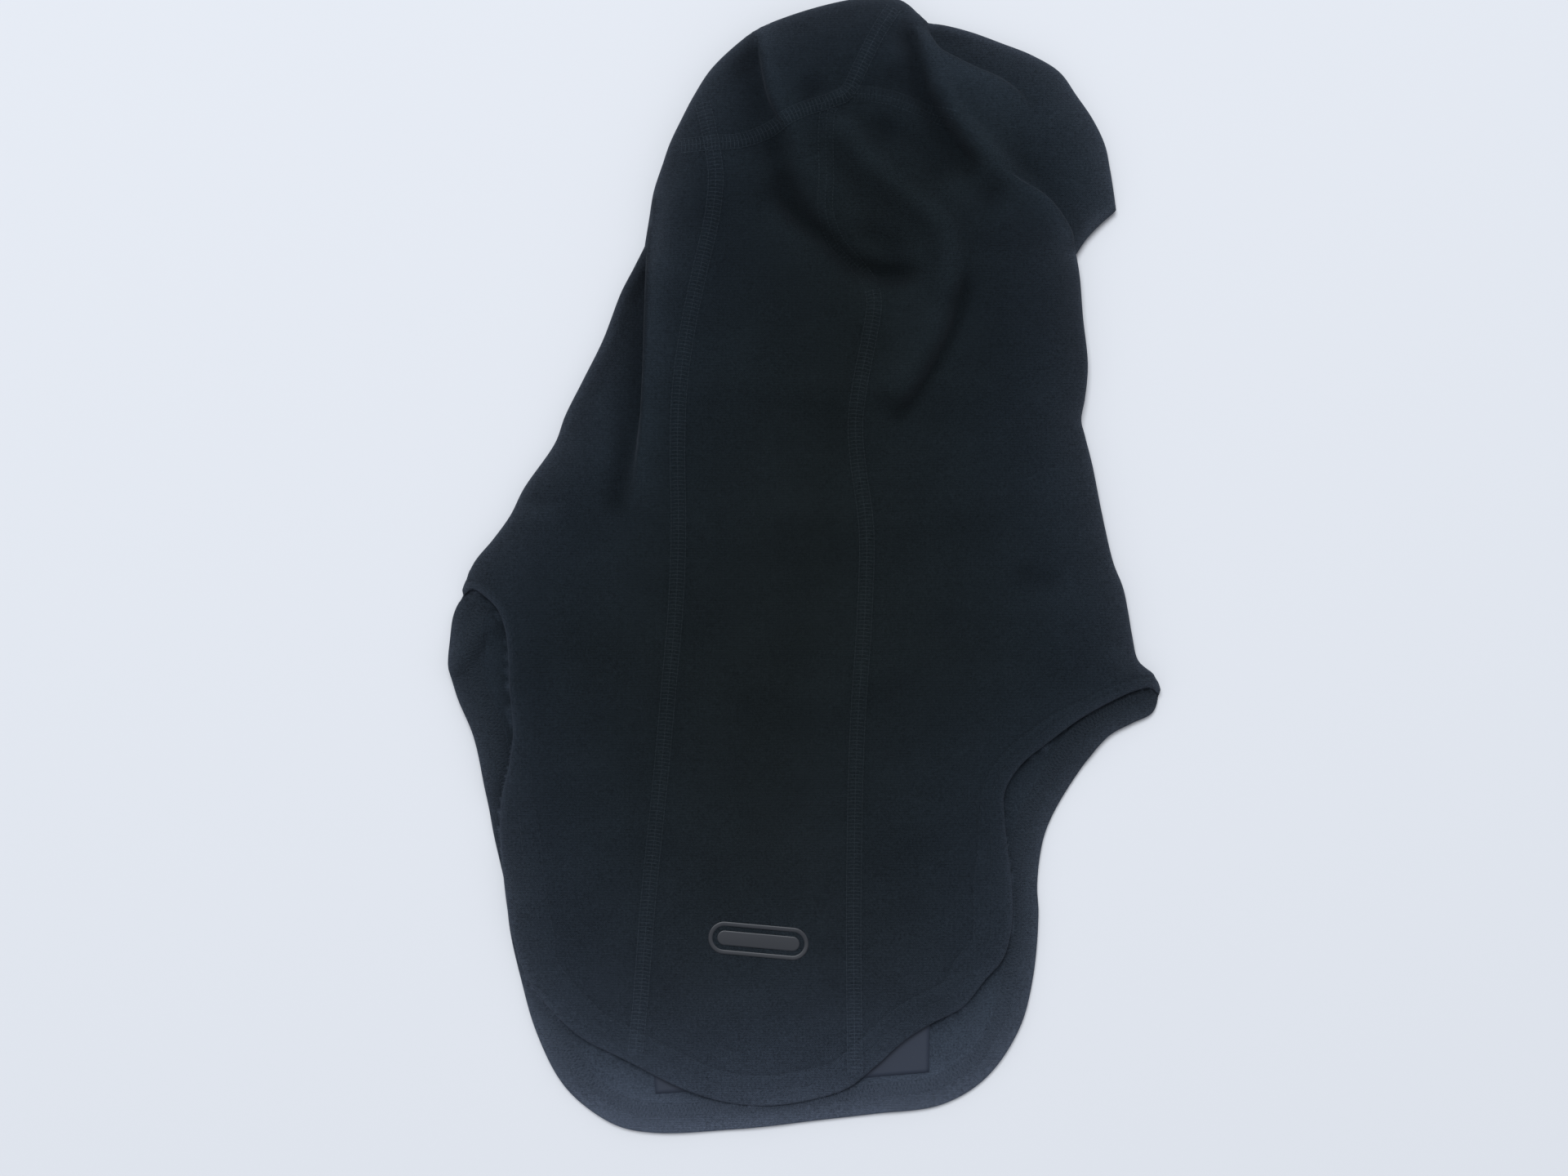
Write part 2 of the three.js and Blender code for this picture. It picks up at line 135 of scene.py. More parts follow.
RIGHT_FOLD = [
    (*RIGHT_TIP, 2.4), (148.8, -47.2, 2.8), (141.6, -40.4, 3.2), (139, -30.1, 3.4), (137.2, -19.6, 3.6),
    (135.0, -9.1, 3.6), (130.9, 1.4, 3.6), (126, 22.4, 3.8), (121.8, 43.4, 4), (118.6, 56, 4),
    (117.1, 62.7, 4), (118.7, 72, 4), (119.9, 86, 4.2), (117.8, 106.4, 4.4), (116.4, 123.9, 4.4),
    (114.9, 133.4, 4.2),
]
BROW_END = [(114.9, 133.4, 3), (119.6, 140.4, 2.4), (125.5, 146.6, 2.2), (132.2, 152.4, 2)]
BROW_FOLD = [
    (132.2, 152.4, 2), (131, 161, 2.4), (129.5, 170, 2.6), (127.4, 179.9, 2.8), (122.4, 190.4, 3),
    (115.2, 200.9, 3.2), (108.2, 210.6, 3.2), (96.6, 217.7, 3.2), (83.7, 222.8, 3.2), (70.7, 227.6, 3),
    (60, 230.4, 3), (51.8, 231.6, 3),
]
CROWN_FOLD = [
    (51.8, 231.6, 4.5), (47.6, 235.4, 4.8), (43, 239.4, 5), (37.4, 241.8, 5.2), (28.7, 242.2, 5.5),
    (12.3, 239.4, 6), (-7, 233.8, 6), (-20.3, 228.2, 6), (-29.5, 221.4, 6), (-39.9, 211.2, 6),
    (-46.6, 200.9, 6), (-52.2, 190.4, 5.6), (-57.2, 179.9, 5.6), (-60.2, 171.2, 5.6), (-64, 159.6, 5.4),
    (-65.9, 148.4, 5), (-67.9, 136.4, 4.6),
]
LEFT_FOLD = [
    (-67.9, 136.4, 4), (-73, 126.5, 3.4), (-78, 116.9, 3.4), (-85.8, 96.5, 3.4), (-94.5, 79, 3.4),
    (-102, 64, 3.4), (-106.2, 52.6, 3.4), (-119.7, 32.9, 3.4), (-125.3, 21.7, 3.4), (-132.7, 11.4, 3.2),
    (-141.2, 1, 2.8), (*LEFT_TIP, 2.4),
]
FOLDS = [RIGHT_FOLD, BROW_END, BROW_FOLD, CROWN_FOLD, LEFT_FOLD]

# ---- seams
LEFT_SEAM = [
    (-72.5, -207), (-70.6, -188), (-66.9, -142.1), (-61.6, -89.6), (-58.4, -54.6), (-55.3, -19.6),
    (-53.9, 15.4), (-54.3, 50.4), (-53.2, 76), (-49.4, 102.9), (-44.1, 127.4), (-39.4, 148.4),
    (-37.9, 165), (-39.6, 178.5), (-42.8, 192.9), (-47.5, 208), (-52, 218),
]
RIGHT_SEAM = [
    (21.2, -216), (20.7, -180), (20.6, -142.1), (21.4, -90), (22.6, -60), (25.2, -19.6), (25.9, 15.4),
    (22.4, 43.4), (21.2, 60), (23.2, 78), (27, 97), (29, 112), (26.8, 121.5), (21, 129), (13.5, 137.5),
    (8.6, 150), (8.8, 165), (8.6, 184), (10.2, 194), (17.9, 200.6), (23.2, 211), (30.7, 226),
    (38.2, 238.5), (41, 246),
]
CROWN_SEAM = [
    (-68, 177), (-54.6, 178), (-40.6, 178.9), (-28, 180), (-16, 184.6), (-7, 190), (0, 193.2), (8, 195.6),
    (17.9, 199), (34, 198.5), (48, 194.5), (60.2, 190), (72, 185),
]
BROW_LINE = [
    (122, 128), (114.8, 134), (113, 141.9), (108.4, 149.8), (100.7, 157.5), (90.3, 163.8), (77.3, 172.9),
    (69.7, 180.7), (62, 194), (57.4, 207), (54.4, 219), (50.2, 230.6), (46.4, 238),
]
LEFT_FRONT_SEAM = [(-50, -234), (-48, -120), (-34, -10), (12, 84)]
RIGHT_FRONT_SEAM = [(46, -222), (54, -120), (74, -10), (82, 84)]
BROW_SEAM_LEFT = [(-66, 184), (-30, 152), (10, 118)]
BROW_SEAM_RIGHT = [(84, 128), (100, 130), (122, 133)]
FACE_CENTRE = (48, 102)
FACE_HALF = (52, 33)
FACE_TURN = math.radians(28)
FACE_TOP = 120  # above this along y, outside the brow's line is the brow
BINDING = 9.0

# ---- heights of the back layer: (x, y, height of the middle of the cloth)
BROAD = [
    (-122, -60, 5.4), (-118, -112, 5.2), (-112, -160, 5.2), (-80, -200, 5.2), (-20, -222, 5.4),
    (40, -200, 5.8), (80, -160, 5.4), (80, -112, 5.8), (106, -70, 5.8), (142, -50, 6.0),
    (-85, -130, 6.4), (-30, -160, 7.0), (45, -150, 6.8), (-25, -100, 7.8), (55, -95, 7.4),
    (-92, -60, 7.2), (95, -35, 7.4), (-115, -10, 7.6), (-60, -10, 9.0), (0, -10, 9.6),
    (70, -5, 8.6), (118, 0, 7.8), (-100, 35, 6.8), (-82, 80, 6.4), (-76, 105, 6.4),
    (-50, 40, 10.5), (-30, 50, 11.5), (10, 45, 11.5), (55, 50, 11), (95, 45, 9.6), (-55, 90, 13),
    (-20, 95, 14), (16, 95, 14.5), (44, 92, 17.5), (85, 90, 12.5), (107, 95, 10.5),
    (-54, 140, 16), (-34, 140, 15), (-25, 118, 14.5), (20, 155, 14.5), (40, 140, 15), (62, 150, 18),
    (86, 138, 14.5), (106, 128, 12.5), (-48, 178, 17), (-34, 190, 16), (-5, 205, 16), (5, 178, 17),
    (40, 180, 17), (30, 210, 17), (-38, 205, 14), (0, 225, 16.5), (30, 230, 15.5), (74, 195, 15),
    (100, 205, 7.8), (112, 182, 7.6), (117, 160, 7.2), (88, 221, 7.6), (122, 170, 7.2), (64, 224, 8.6),
]
BROAD_REACH = 14.0

# How much of the back hem's width shows from above, along the edge: it curls under at the arches.
HEM_SHOWN = [
    (-138, -12, 0.28), (-127, -35, 0.28), (-126, -52, 0.28), (-125, -74, 0.42), (-129, -93, 0.95),
    (-130, -112, 1.34), (-129, -127, 1.32), (-126, -149, 1.34), (-112, -185, 1.15), (-80, -210, 1.05),
    (-20, -230, 1), (30, -213, 1), (60, -192, 1.05), (84, -165, 1.2), (88, -138, 1.3), (86, -117, 1.0),
    (85, -103, 0.76), (85, -92, 0.72), (93, -83, 0.68), (103, -75, 0.68), (125, -60, 0.5), (146, -52, 0.35),
]
SHOWN_REACH = 9.0

# Where the front layer lifts off the surface: line, rise, half width.
FRONT_RISES = [
    ([(-150, -42), (-144, -34), (-138, -26.5), (-132, -21)], 3.6, 4.0),
    ([(-149, -22), (-150.5, -36), (-149, -52), (-142, -72), (-137, -94)], 1.5, 4.5),
    ([(-141, -60), (-136, -78), (-133, -96)], 1.0, 7),
    ([(148, -60), (134, -66), (120, -78)], 1.2, 5),
]

# Ridges and hollows: line, rise, half width on the line's left and on its right.
CREASES = [
    # the hollow beside the crown's fold, and the crest along the top of the body
    ([(42, 234), (45.5, 224), (48, 213), (51.5, 202), (57.5, 190.5), (64.5, 180), (71, 171), (76, 166)],
     -5.5, 3.4, 6.5),
    ([(30, 214), (42, 203), (50, 193), (56, 184), (64, 173), (76, 162), (88, 152)], -4.0, 8, 9),
    ([(54, 213), (58, 200), (64, 190), (72, 181), (80, 173.5), (90, 166), (102, 156), (110, 146)],
     3.0, 4, 4.5),
    # the hollow left of the crown, running down into the hollows of the hood
    ([(-29, 226), (-26, 212), (-23, 196), (-19, 180), (-13, 164), (-4, 150)], -3.0, 9, 10),
    ([(-15, 188), (-12, 176), (-8, 164), (-2, 153), (6, 145)], -3.5, 6, 6),
    ([(-12, 160), (-4, 149), (4, 143), (12, 136), (20, 129), (30, 125), (42, 124), (52, 127)],
     -4.8, 4.8, 4.2),
    ([(-18, 168), (-8, 156), (2, 146), (12, 137), (22, 128), (34, 125), (48, 126)], -2.8, 11, 11),
    ([(18, 148), (28, 141), (38, 136), (48, 137)], -2.4, 7, 7),
    # the ridge of the pouch
    ([(10, 194), (14, 188), (22, 178), (30.6, 168.5), (44.6, 156.6), (57, 146), (61, 136), (61, 126),
      (62, 110)], 3.2, 5, 5),
    ([(24, 190), (36, 185), (48, 178), (56, 168), (60, 158)], -3.6, 8, 7),
    ([(0, 176), (10, 162), (20, 150), (30, 140)], 1.2, 5, 5),
    ([(69, 128), (66.5, 113), (61, 98.5), (53.5, 84.5), (45, 71), (35, 58)], -3.4, 3.6, 6.5),
    ([(26, 76), (35, 69), (43, 62)], -2.2, 6, 6),
    # the seam across the crown stands up a little
    ([(-3, 190), (4, 195.5), (12, 198.5), (19.5, 203), (24, 213), (31, 227)], 1.0, 3, 3),
    ([(-8, 199), (2, 201), (12, 206)], -2.0, 6, 6),
    # soft creases of the shoulders
    ([(84, -2), (98, -5), (113, -10)], -1.6, 6, 5),
    ([(-126, 21.5), (-114, 23), (-98, 22)], 1.6, 3.5, 5),
    ([(122, -34), (131, -38), (141, -40)], 1.4, 3, 5),
    ([(22, 60), (6, 20), (-2, -30), (-6, -80)], -0.8, 16, 12),
    # beside the fold at the left of the neck
    ([(-67, 140), (-70.5, 110), (-72.5, 80), (-76, 50), (-82, 18)], -3.0, 4, 5.5),
]
# Overlapping folds: line with the higher side on its left, step, half width, tuck, and fades.
PLEATS = [
    # left of the neck
    ([(-64.5, 156), (-66.6, 134), (-67.6, 110), (-68.6, 80), (-71, 50), (-75, 18)], 8.5, 3.6, 1.9, 0, 80),
    # body over the brow
    (BROW_LINE[:8], 6.0, 4.4, 1.6, 0, 45),
    # crown over the brow
    ([(101.9, 180.7), (98, 187.3), (94.2, 196.3), (89, 202.7), (81.2, 207.9), (72.1, 211.8), (64.4, 215.7),
      (57, 219.8), (53.4, 224.7), (50.2, 230.6), (46.4, 238)], 5.0, 4.4, 1.3, 50, 0),
    # pouch over the right side
    ([(31, 58), (41.7, 68.6), (48.3, 78), (56.4, 92.8), (61.6, 106), (63, 122)], 3.6, 5.6, 0.3, 26, 26),
    # crown over the left of the hood
    ([(-22, 236), (-20, 223.7), (-17.9, 210.7), (-14.7, 197.4), (-9.5, 187.3), (-2, 171)],
     4.2, 4.4, 1.1, 0, 30),
]
PLEAT_DECAY = 16.0
LOWEST = 4.4  # the least height of the back layer's middle over the surface


# ---- lines
def smooth(points, step=EDGE_STEP, closed=False):
    """A centripetal Catmull-Rom line through the points, at an even step, with any third column."""
    p = np.array(points, float)
    if closed:
        p = np.vstack([p[-1:], p, p[:2]])
    else:
        p = np.vstack([2 * p[0] - p[1], p, 2 * p[-1] - p[-2]])
    made = []
    for a, b, c, d in zip(p[:-3], p[1:-2], p[2:-1], p[3:]):
        t1 = max(np.linalg.norm(b[:2] - a[:2]), 1e-6) ** 0.5
        t2 = t1 + max(np.linalg.norm(c[:2] - b[:2]), 1e-6) ** 0.5
        t3 = t2 + max(np.linalg.norm(d[:2] - c[:2]), 1e-6) ** 0.5
        t = np.linspace(t1, t2, 16, endpoint=False)[:, None]
        ab = (t1 - t) / t1 * a + t / t1 * b
        bc = (t2 - t) / (t2 - t1) * b + (t - t1) / (t2 - t1) * c
        cd = (t3 - t) / (t3 - t2) * c + (t - t2) / (t3 - t2) * d
        abc = (t2 - t) / t2 * ab + t / t2 * bc
        bcd = (t3 - t) / (t3 - t1) * bc + (t - t1) / (t3 - t1) * cd
        made.append((t2 - t) / (t2 - t1) * abc + (t - t1) / (t2 - t1) * bcd)
    dense = np.vstack(made + [p[-2:-1]])
    return evenly(dense, step)


def lengths(line):
    return np.concatenate([[0], np.cumsum(np.linalg.norm(np.diff(line[:, :2], axis=0), axis=1))])


def evenly(line, step):
    along = lengths(line)
    count = max(int(round(along[-1] / step)), 2)
    at = np.linspace(0, along[-1], count + 1)
    return np.column_stack([np.interp(at, along, line[:, k]) for k in range(line.shape[1])])


def left_of(line):
    """Unit vectors to the left of a line, at its points."""
    d = np.gradient(line[:, :2], axis=0)
    d /= np.linalg.norm(d, axis=1)[:, None]
    return np.column_stack([-d[:, 1], d[:, 0]])


def sideways(line, distance):
    return line[:, :2] + left_of(line) * distance


def shut(line, edge):
    """A line beside an edge, carried on to the edge's two ends, so that they close off a strip."""
    return np.vstack([edge[:1, :2], line, edge[-1:, :2]])


class Near:
    """How a set of points lies to a line: distance, signed distance (positive on the left), how far
    along the line in millimetres, and the line's left at the nearest place."""

    def __init__(self, line, at):
        a = line[:-1, :2]
        e = np.diff(line[:, :2], axis=0)
        size = np.linalg.norm(e, axis=1)
        starts = lengths(line)[:-1]
        self.length = starts[-1] + size[-1]
        best = np.full(len(at), np.inf)
        self.side = np.ones(len(at))
        self.along = np.zeros(len(at))
        self.left = np.zeros((len(at), 2))
        self.index = np.zeros(len(at), int)
        self.part = np.zeros(len(at))
        for i in np.nonzero(size > 0)[0]:
            r = at - a[i]
            t = np.clip((r @ e[i]) / size[i] ** 2, 0, 1)
            off = r - t[:, None] * e[i]
            d = (off ** 2).sum(1)
            better = d < best
            best[better] = d[better]
            cross = e[i][0] * r[:, 1] - e[i][1] * r[:, 0]
            self.side[better] = np.where(cross[better] >= 0, 1, -1)
            self.along[better] = starts[i] + t[better] * size[i]
            self.left[better] = (-e[i][1] / size[i], e[i][0] / size[i])
            self.index[better] = i
            self.part[better] = t[better]
        self.distance = np.sqrt(best)
        self.signed = self.distance * self.side

    def faded(self, start, end):
        """1 along the line, and down to 0 at its ends over the lengths start and end, where not 0."""
        fade = np.ones(len(self.along))
        for past, over in ((self.along, start), (self.length - self.along, end)):
            if over:
                fade = fade * step_up(past, 0, over)
        return fade

    def column(self, line, k):
        """A value carried by the line's points, at the nearest place."""
        return line[self.index, k] * (1 - self.part) + line[self.index + 1, k] * self.part


def step_up(x, low, high):
    t = np.clip((x - low) / (high - low), 0, 1)
    return t * t * (3 - 2 * t)


# ---- surfaces
folds = [smooth(f) for f in FOLDS]
back_edge = smooth(BACK_EDGE)
front_edge = smooth(FRONT_EDGE)
creases = [(smooth(line, 3), rise, left, right) for line, rise, left, right in CREASES]
pleats = [(smooth(line, 1.5), *rest) for line, *rest in PLEATS]
front_rises = [(smooth(line, 3), rise, width) for line, rise, width in FRONT_RISES]
half_seam = SEAM_WIDTH / 2
seam_lines = {
    "left": smooth(LEFT_SEAM), "right": smooth(RIGHT_SEAM), "crown": smooth(CROWN_SEAM),
}
front_seam_lines = {
    "left_front": smooth(LEFT_FRONT_SEAM), "right_front": smooth(RIGHT_FRONT_SEAM),
    "brow_left": smooth(BROW_SEAM_LEFT), "brow_right": smooth(BROW_SEAM_RIGHT),
}


def ellipse(grow):
    turn = np.linspace(0, 2 * math.pi, 121)
    x = (FACE_HALF[0] + grow) * np.cos(turn)
    y = (FACE_HALF[1] + grow) * np.sin(turn)
    c, s = math.cos(FACE_TURN), math.sin(FACE_TURN)
    return np.column_stack([FACE_CENTRE[0] + c * x - s * y, FACE_CENTRE[1] + s * x + c * y])


face_edge = ellipse(0)
brow_line = smooth(BROW_LINE)
silhouette = np.vstack([front_edge[:, :2], *[f[:, :2] for f in folds]])


def shown_of_back_hem(at):
    return between(HEM_SHOWN, at, SHOWN_REACH)


def shown_of_front_hem(at):
    """All of the front hem's width shows."""
    return np.ones(len(at))


def hem_line(edge, shown, row):
    """The line of a row of stitches, that far from the hem's edge along the cloth."""
    return edge[:, :2] + left_of(edge) * (row * shown(edge[:, :2]))[:, None]


def waves(count, low, high, seed):
    """Random shallow waves, with lengths between low and high."""
    r = np.random.default_rng(seed)
    size = np.exp(r.uniform(np.log(low), np.log(high), count))
    turn = r.uniform(0, 2 * math.pi, count)
    k = 2 * math.pi / size[:, None] * np.column_stack([np.cos(turn), np.sin(turn)])
    phase = r.uniform(0, 2 * math.pi, count)
    share = size / size.sum() * math.sqrt(count)
    return lambda at: (np.sin(at @ k.T + phase) * share).sum(1)


long_waves = waves(14, 45, 110, 3)
short_waves = waves(26, 12, 34, 5)


def side_fold(at):
    """Distance from the nearest folded side, and the radius of the fold there."""
    distance = np.full(len(at), np.inf)
    radius = np.zeros(len(at))
    total = np.zeros(len(at))
    for line in folds:
        near = Near(line, at)
        distance = np.minimum(distance, near.distance)
        share = (near.distance + 0.4) ** -4
        radius += share * near.column(line, 2)
        total += share
    return distance, radius / total


def round_over(distance, radius):
    """0 at a fold and 1 where the cloth has turned over it."""
    return np.sqrt(1 - (1 - np.minimum(distance / radius, 1)) ** 2)


def freed(distance, radius):
    """0 at a fold and nearly 1 where the cloth has left the height of its folded edge."""
    return 1 - np.exp(-((np.maximum(distance - radius, 0) / EASE) ** 1.3))


def seam_relief(at):
    """The cloth is doubled under a flatlock, and drawn down beside it."""
    rise = np.zeros(len(at))
    for line in seam_lines.values():
        d = Near(line, at).distance - half_seam
        rise += 0.22 * (1 - step_up(d, -0.9, 0.3))
        rise -= 0.24 * np.exp(-(((d - 0.5) / 0.8) ** 2))
    return rise


def between(anchors, at, reach):
    """A value held by anchors (x, y, value), blended over the points between them."""
    anchors = np.array(anchors, float)
    d2 = ((at[:, None, :] - anchors[None, :, :2]) ** 2).sum(2)
    weight = np.exp(-d2 / (2 * reach ** 2)) + 1e-9 / (1 + d2)
    return (weight * anchors[:, 2]).sum(1) / weight.sum(1)


def softly_above(low, value, softness):
    return low + softness * np.logaddexp(0, (value - low) / softness)


def back_detail(at):
    """The back layer's creases, folds and seams: rise over its broad height, and shift over the plan."""
    detail = seam_relief(at)
    for line, rise, left, right in creases:
        near = Near(line, at)
        width = np.where(near.side > 0, left, right)
        detail = detail + rise * near.faded(12, 12) * np.exp(-((near.distance / width) ** 2))
    shift = np.zeros((len(at), 2))
    for line, step, half, tuck, *fades in pleats:
        near = Near(line, at)
        u = near.signed
        window = near.faded(*fades)
        level = 0.5 * np.sin(math.pi / 2 * np.clip(u / (0.62 * half), -1, 1))
        detail = detail + step * window * level * np.exp(-np.maximum(np.abs(u) - half, 0) / PLEAT_DECAY)
        within = np.clip(u / half, -1, 1)
        amount = -tuck * window * np.sin(math.pi * within) * (1 - within ** 2)
        shift += near.left * amount[:, None]
    broad = between(BROAD, at, BROAD_REACH) + 0.45 * long_waves(at) + 0.16 * short_waves(at)
    return broad, softly_above(LOWEST, broad + detail, 0.3) - broad, shift


def back_surface(at):
    """Points on the middle of the back layer's cloth, over the plan points."""
    distance, radius = side_fold(at)
    broad, detail, shift = back_detail(at)
    middle = FRONT_MID + radius
    edge = middle + radius
    z = middle + radius * round_over(distance, radius) + (broad - edge) * freed(distance, radius)
    z = z + detail * step_up(distance, 0.5 * radius, 2.2 * radius)
    hold = step_up(distance, 0, radius)[:, None]
    return np.column_stack([at + shift * hold, z])


def front_surface(at):
    """The same for the front layer."""
    distance, radius = side_fold(at)
    middle = FRONT_MID + radius
    edge = Near(front_edge, at).distance
    lift = 0.35 * (1 + np.tanh(long_waves(at[:, ::-1] * 1.7))) * np.exp(-edge / 18)
    uncovered = 1 - step_up(Near(back_edge, at).signed, -5, 0)
    for line, rise, width in front_rises:
        lift = lift + rise * uncovered * np.exp(-((Near(line, at).distance / width) ** 2))
    z = middle - radius * round_over(distance, radius) + lift * freed(distance, radius)
    return np.column_stack([at, z])


def hem_faces(distance, shown):
    """How far the cloth's outer and inner faces are from its middle, by distance from the hem's edge and
    how much of the hem's width shows."""
    edge = distance / shown
    groove = sum(share * np.exp(-(((edge - row) / width) ** 2))
                 for row, share, width in ((ROW_NEAR, 0.4, 0.7), (ROW_FAR, 1.3, 0.9)))
    puff = np.sin(math.pi * np.clip(edge / ROW_NEAR, 0, 1)) + 0.6 * np.sin(
        math.pi * np.clip((edge - ROW_NEAR) / (ROW_FAR - ROW_NEAR), 0, 1))
    outer = CLOTH / 2 + 0.22 * puff - 0.42 * groove
    double = 1 - step_up(edge, HEM_RAW - 0.5, HEM_RAW)
    inner = -CLOTH / 2 - double * (CLOTH * 0.85 - 0.25 * groove)
    centre = -CLOTH / 2 * double
    bead = round_over(distance, 1.5)
    return centre + (outer - centre) * bead, centre + (inner - centre) * bead


# ---- triangulating a layer
def inside_of(outline, at):
    """Which points lie inside a closed outline."""
    x, y = at[:, 0], at[:, 1]
    hit = np.zeros(len(at), bool)
    a = outline
    b = np.roll(outline, -1, axis=0)
    for (ax, ay), (bx, by) in zip(a[:, :2], b[:, :2]):
        if ay == by:
            continue
        crosses = (ay > y) != (by > y)
        hit ^= crosses & (x < (bx - ax) * (y - ay) / (by - ay) + ax)
    return hit


class Cells:
    """Keeps points apart: a point is taken only where none has been taken nearer than its gap."""

    SIZE = 1.5

    def __init__(self):
        self.taken = {}
        self.points = []

    def add(self, x, y, gap):
        i, j = int(x // self.SIZE), int(y // self.SIZE)
        reach = int(gap // self.SIZE) + 1
        for a in range(i - reach, i + reach + 1):
            for b in range(j - reach, j + reach + 1):
                for px, py in self.taken.get((a, b), ()):
                    if (px - x) ** 2 + (py - y) ** 2 < gap * gap:
                        return
        self.taken.setdefault((i, j), []).append((x, y))
        self.points.append((x, y))


class Layer:
    """A layer's plan, triangulated and cut into regions along its lines."""

    def __init__(self, outline, lines, rings, grid):
        cells = Cells()
        coords, edges = [], []
        for line in [np.vstack([outline, outline[:1]]), *lines]:
            start = len(coords)
            for x, y in line[:, :2]:
                coords.append((x, y))
                cells.add(x, y, 0)
            edges += [(k, k + 1) for k in range(start, len(coords) - 1)]
        cells.points = []
        for ring, gap in rings:
            for x, y in ring[inside_of(outline, ring)]:
                cells.add(x, y, gap)
        low, high = outline.min(0)[:2], outline.max(0)[:2]
        rows = np.arange(low[1], high[1], grid * math.sqrt(3) / 2)
        hexes = np.array([(x, y) for k, y in enumerate(rows)
                          for x in np.arange(low[0] + (k % 2) * grid / 2, high[0], grid)])
        for x, y in hexes[inside_of(outline, hexes)]:
            cells.add(x, y, grid * 0.72)
        coords += cells.points
        verts, out_edges, faces, _, from_edges, _ = delaunay_2d_cdt(
            [Vector(c) for c in coords], edges, [], 0, 1e-4, True)
        self.plan = np.array([tuple(v) for v in verts])
        tris = np.array([f for f in faces if len(f) == 3])
        centres = self.plan[tris].mean(1)
        tris = tris[inside_of(outline, centres)]
        walls = {(min(e), max(e)) for e, source in zip(out_edges, from_edges) if source}
        self.tris = self.faced_up(tris)
        self.region = self.label(walls)

    def faced_up(self, tris):
        a, b, c = (self.plan[tris[:, k]] for k in range(3))
        cross = (b[:, 0] - a[:, 0]) * (c[:, 1] - a[:, 1]) - (b[:, 1] - a[:, 1]) * (c[:, 0] - a[:, 0])
        tris = tris[np.abs(cross) > 1e-7]
        cross = cross[np.abs(cross) > 1e-7]
        tris[cross < 0] = tris[cross < 0][:, [0, 2, 1]]
        return tris

    def label(self, walls):
        meets = {}
        for f, (a, b, c) in enumerate(self.tris.tolist()):
            for e in ((a, b), (b, c), (c, a)):
                key = (min(e), max(e))
                if key not in walls:
                    meets.setdefault(key, []).append(f)
        around = [[] for _ in range(len(self.tris))]
        for pair in meets.values():
            if len(pair) == 2:
                around[pair[0]].append(pair[1])
                around[pair[1]].append(pair[0])
        region = np.full(len(self.tris), -1)
        for first in range(len(self.tris)):
            if region[first] >= 0:
                continue
            region[first] = first
            queue = [first]
            while queue:
                for g in around[queue.pop()]:
                    if region[g] < 0:
                        region[g] = first
                        queue.append(g)
        return region

    def holding(self, *points):
        """The faces of the regions that hold the points."""
        a, b, c = (self.plan[self.tris[:, k]] for k in range(3))
        keep = np.zeros(len(self.tris), bool)
        for x, y in points:
            p = np.array([x, y])
            side = [(v[:, 0] - u[:, 0]) * (p[1] - u[:, 1]) - (v[:, 1] - u[:, 1]) * (p[0] - u[:, 0])
                    for u, v in ((a, b), (b, c), (c, a))]
            found = np.nonzero((side[0] >= 0) & (side[1] >= 0) & (side[2] >= 0))[0]
            if not len(found):
                raise ValueError(f"no region at {x}, {y}")
            keep |= self.region == self.region[found[0]]
        return keep

    def drape(self, surface, faces, outer):
        """Works out the cloth's middle, its two faces and their normals at every vertex. The cloth's
        outer face is its top where outer is 1 and its bottom where it is -1."""
        self.middle = surface(self.plan)
        push = self.normals(self.middle)
        fold_distance, _ = side_fold(self.plan)
        on_fold = fold_distance < 1e-3
        outward = np.zeros((len(self.plan), 3))
        for line in folds:
            near = Near(line, self.plan)
            here = on_fold & (near.distance < 1e-3)
            outward[here, :2] = -outer * near.left[here]
        push[on_fold] = outward[on_fold]
        top, bottom = faces(self.plan)
        self.top = self.middle + push * top[:, None]
        self.bottom = self.middle + push * bottom[:, None]
        self.top_normal = self.normals(self.top)
        self.bottom_normal = -self.normals(self.bottom)
        self.top_normal[on_fold] = outward[on_fold]
        self.bottom_normal[on_fold] = -outward[on_fold]

    def area(self, keep):
        """The area of the cloth's middle over some of the faces, in square millimetres."""
        a, b, c = (self.middle[self.tris[keep][:, k]] for k in range(3))
        return 0.5 * float(np.linalg.norm(np.cross(b - a, c - a), axis=1).sum())

    def normals(self, verts):
        a, b, c = (verts[self.tris[:, k]] for k in range(3))
        face = np.cross(b - a, c - a)
        total = np.zeros_like(verts)
        for k in range(3):
            np.add.at(total, self.tris[:, k], face)
        return total / np.maximum(np.linalg.norm(total, axis=1), 1e-12)[:, None]


# ---- turning regions and threads into objects
def to_metres(verts):
    out = verts * MM
    out[:, 0] += CENTRE[0]
    out[:, 1] += CENTRE[1]
    return out


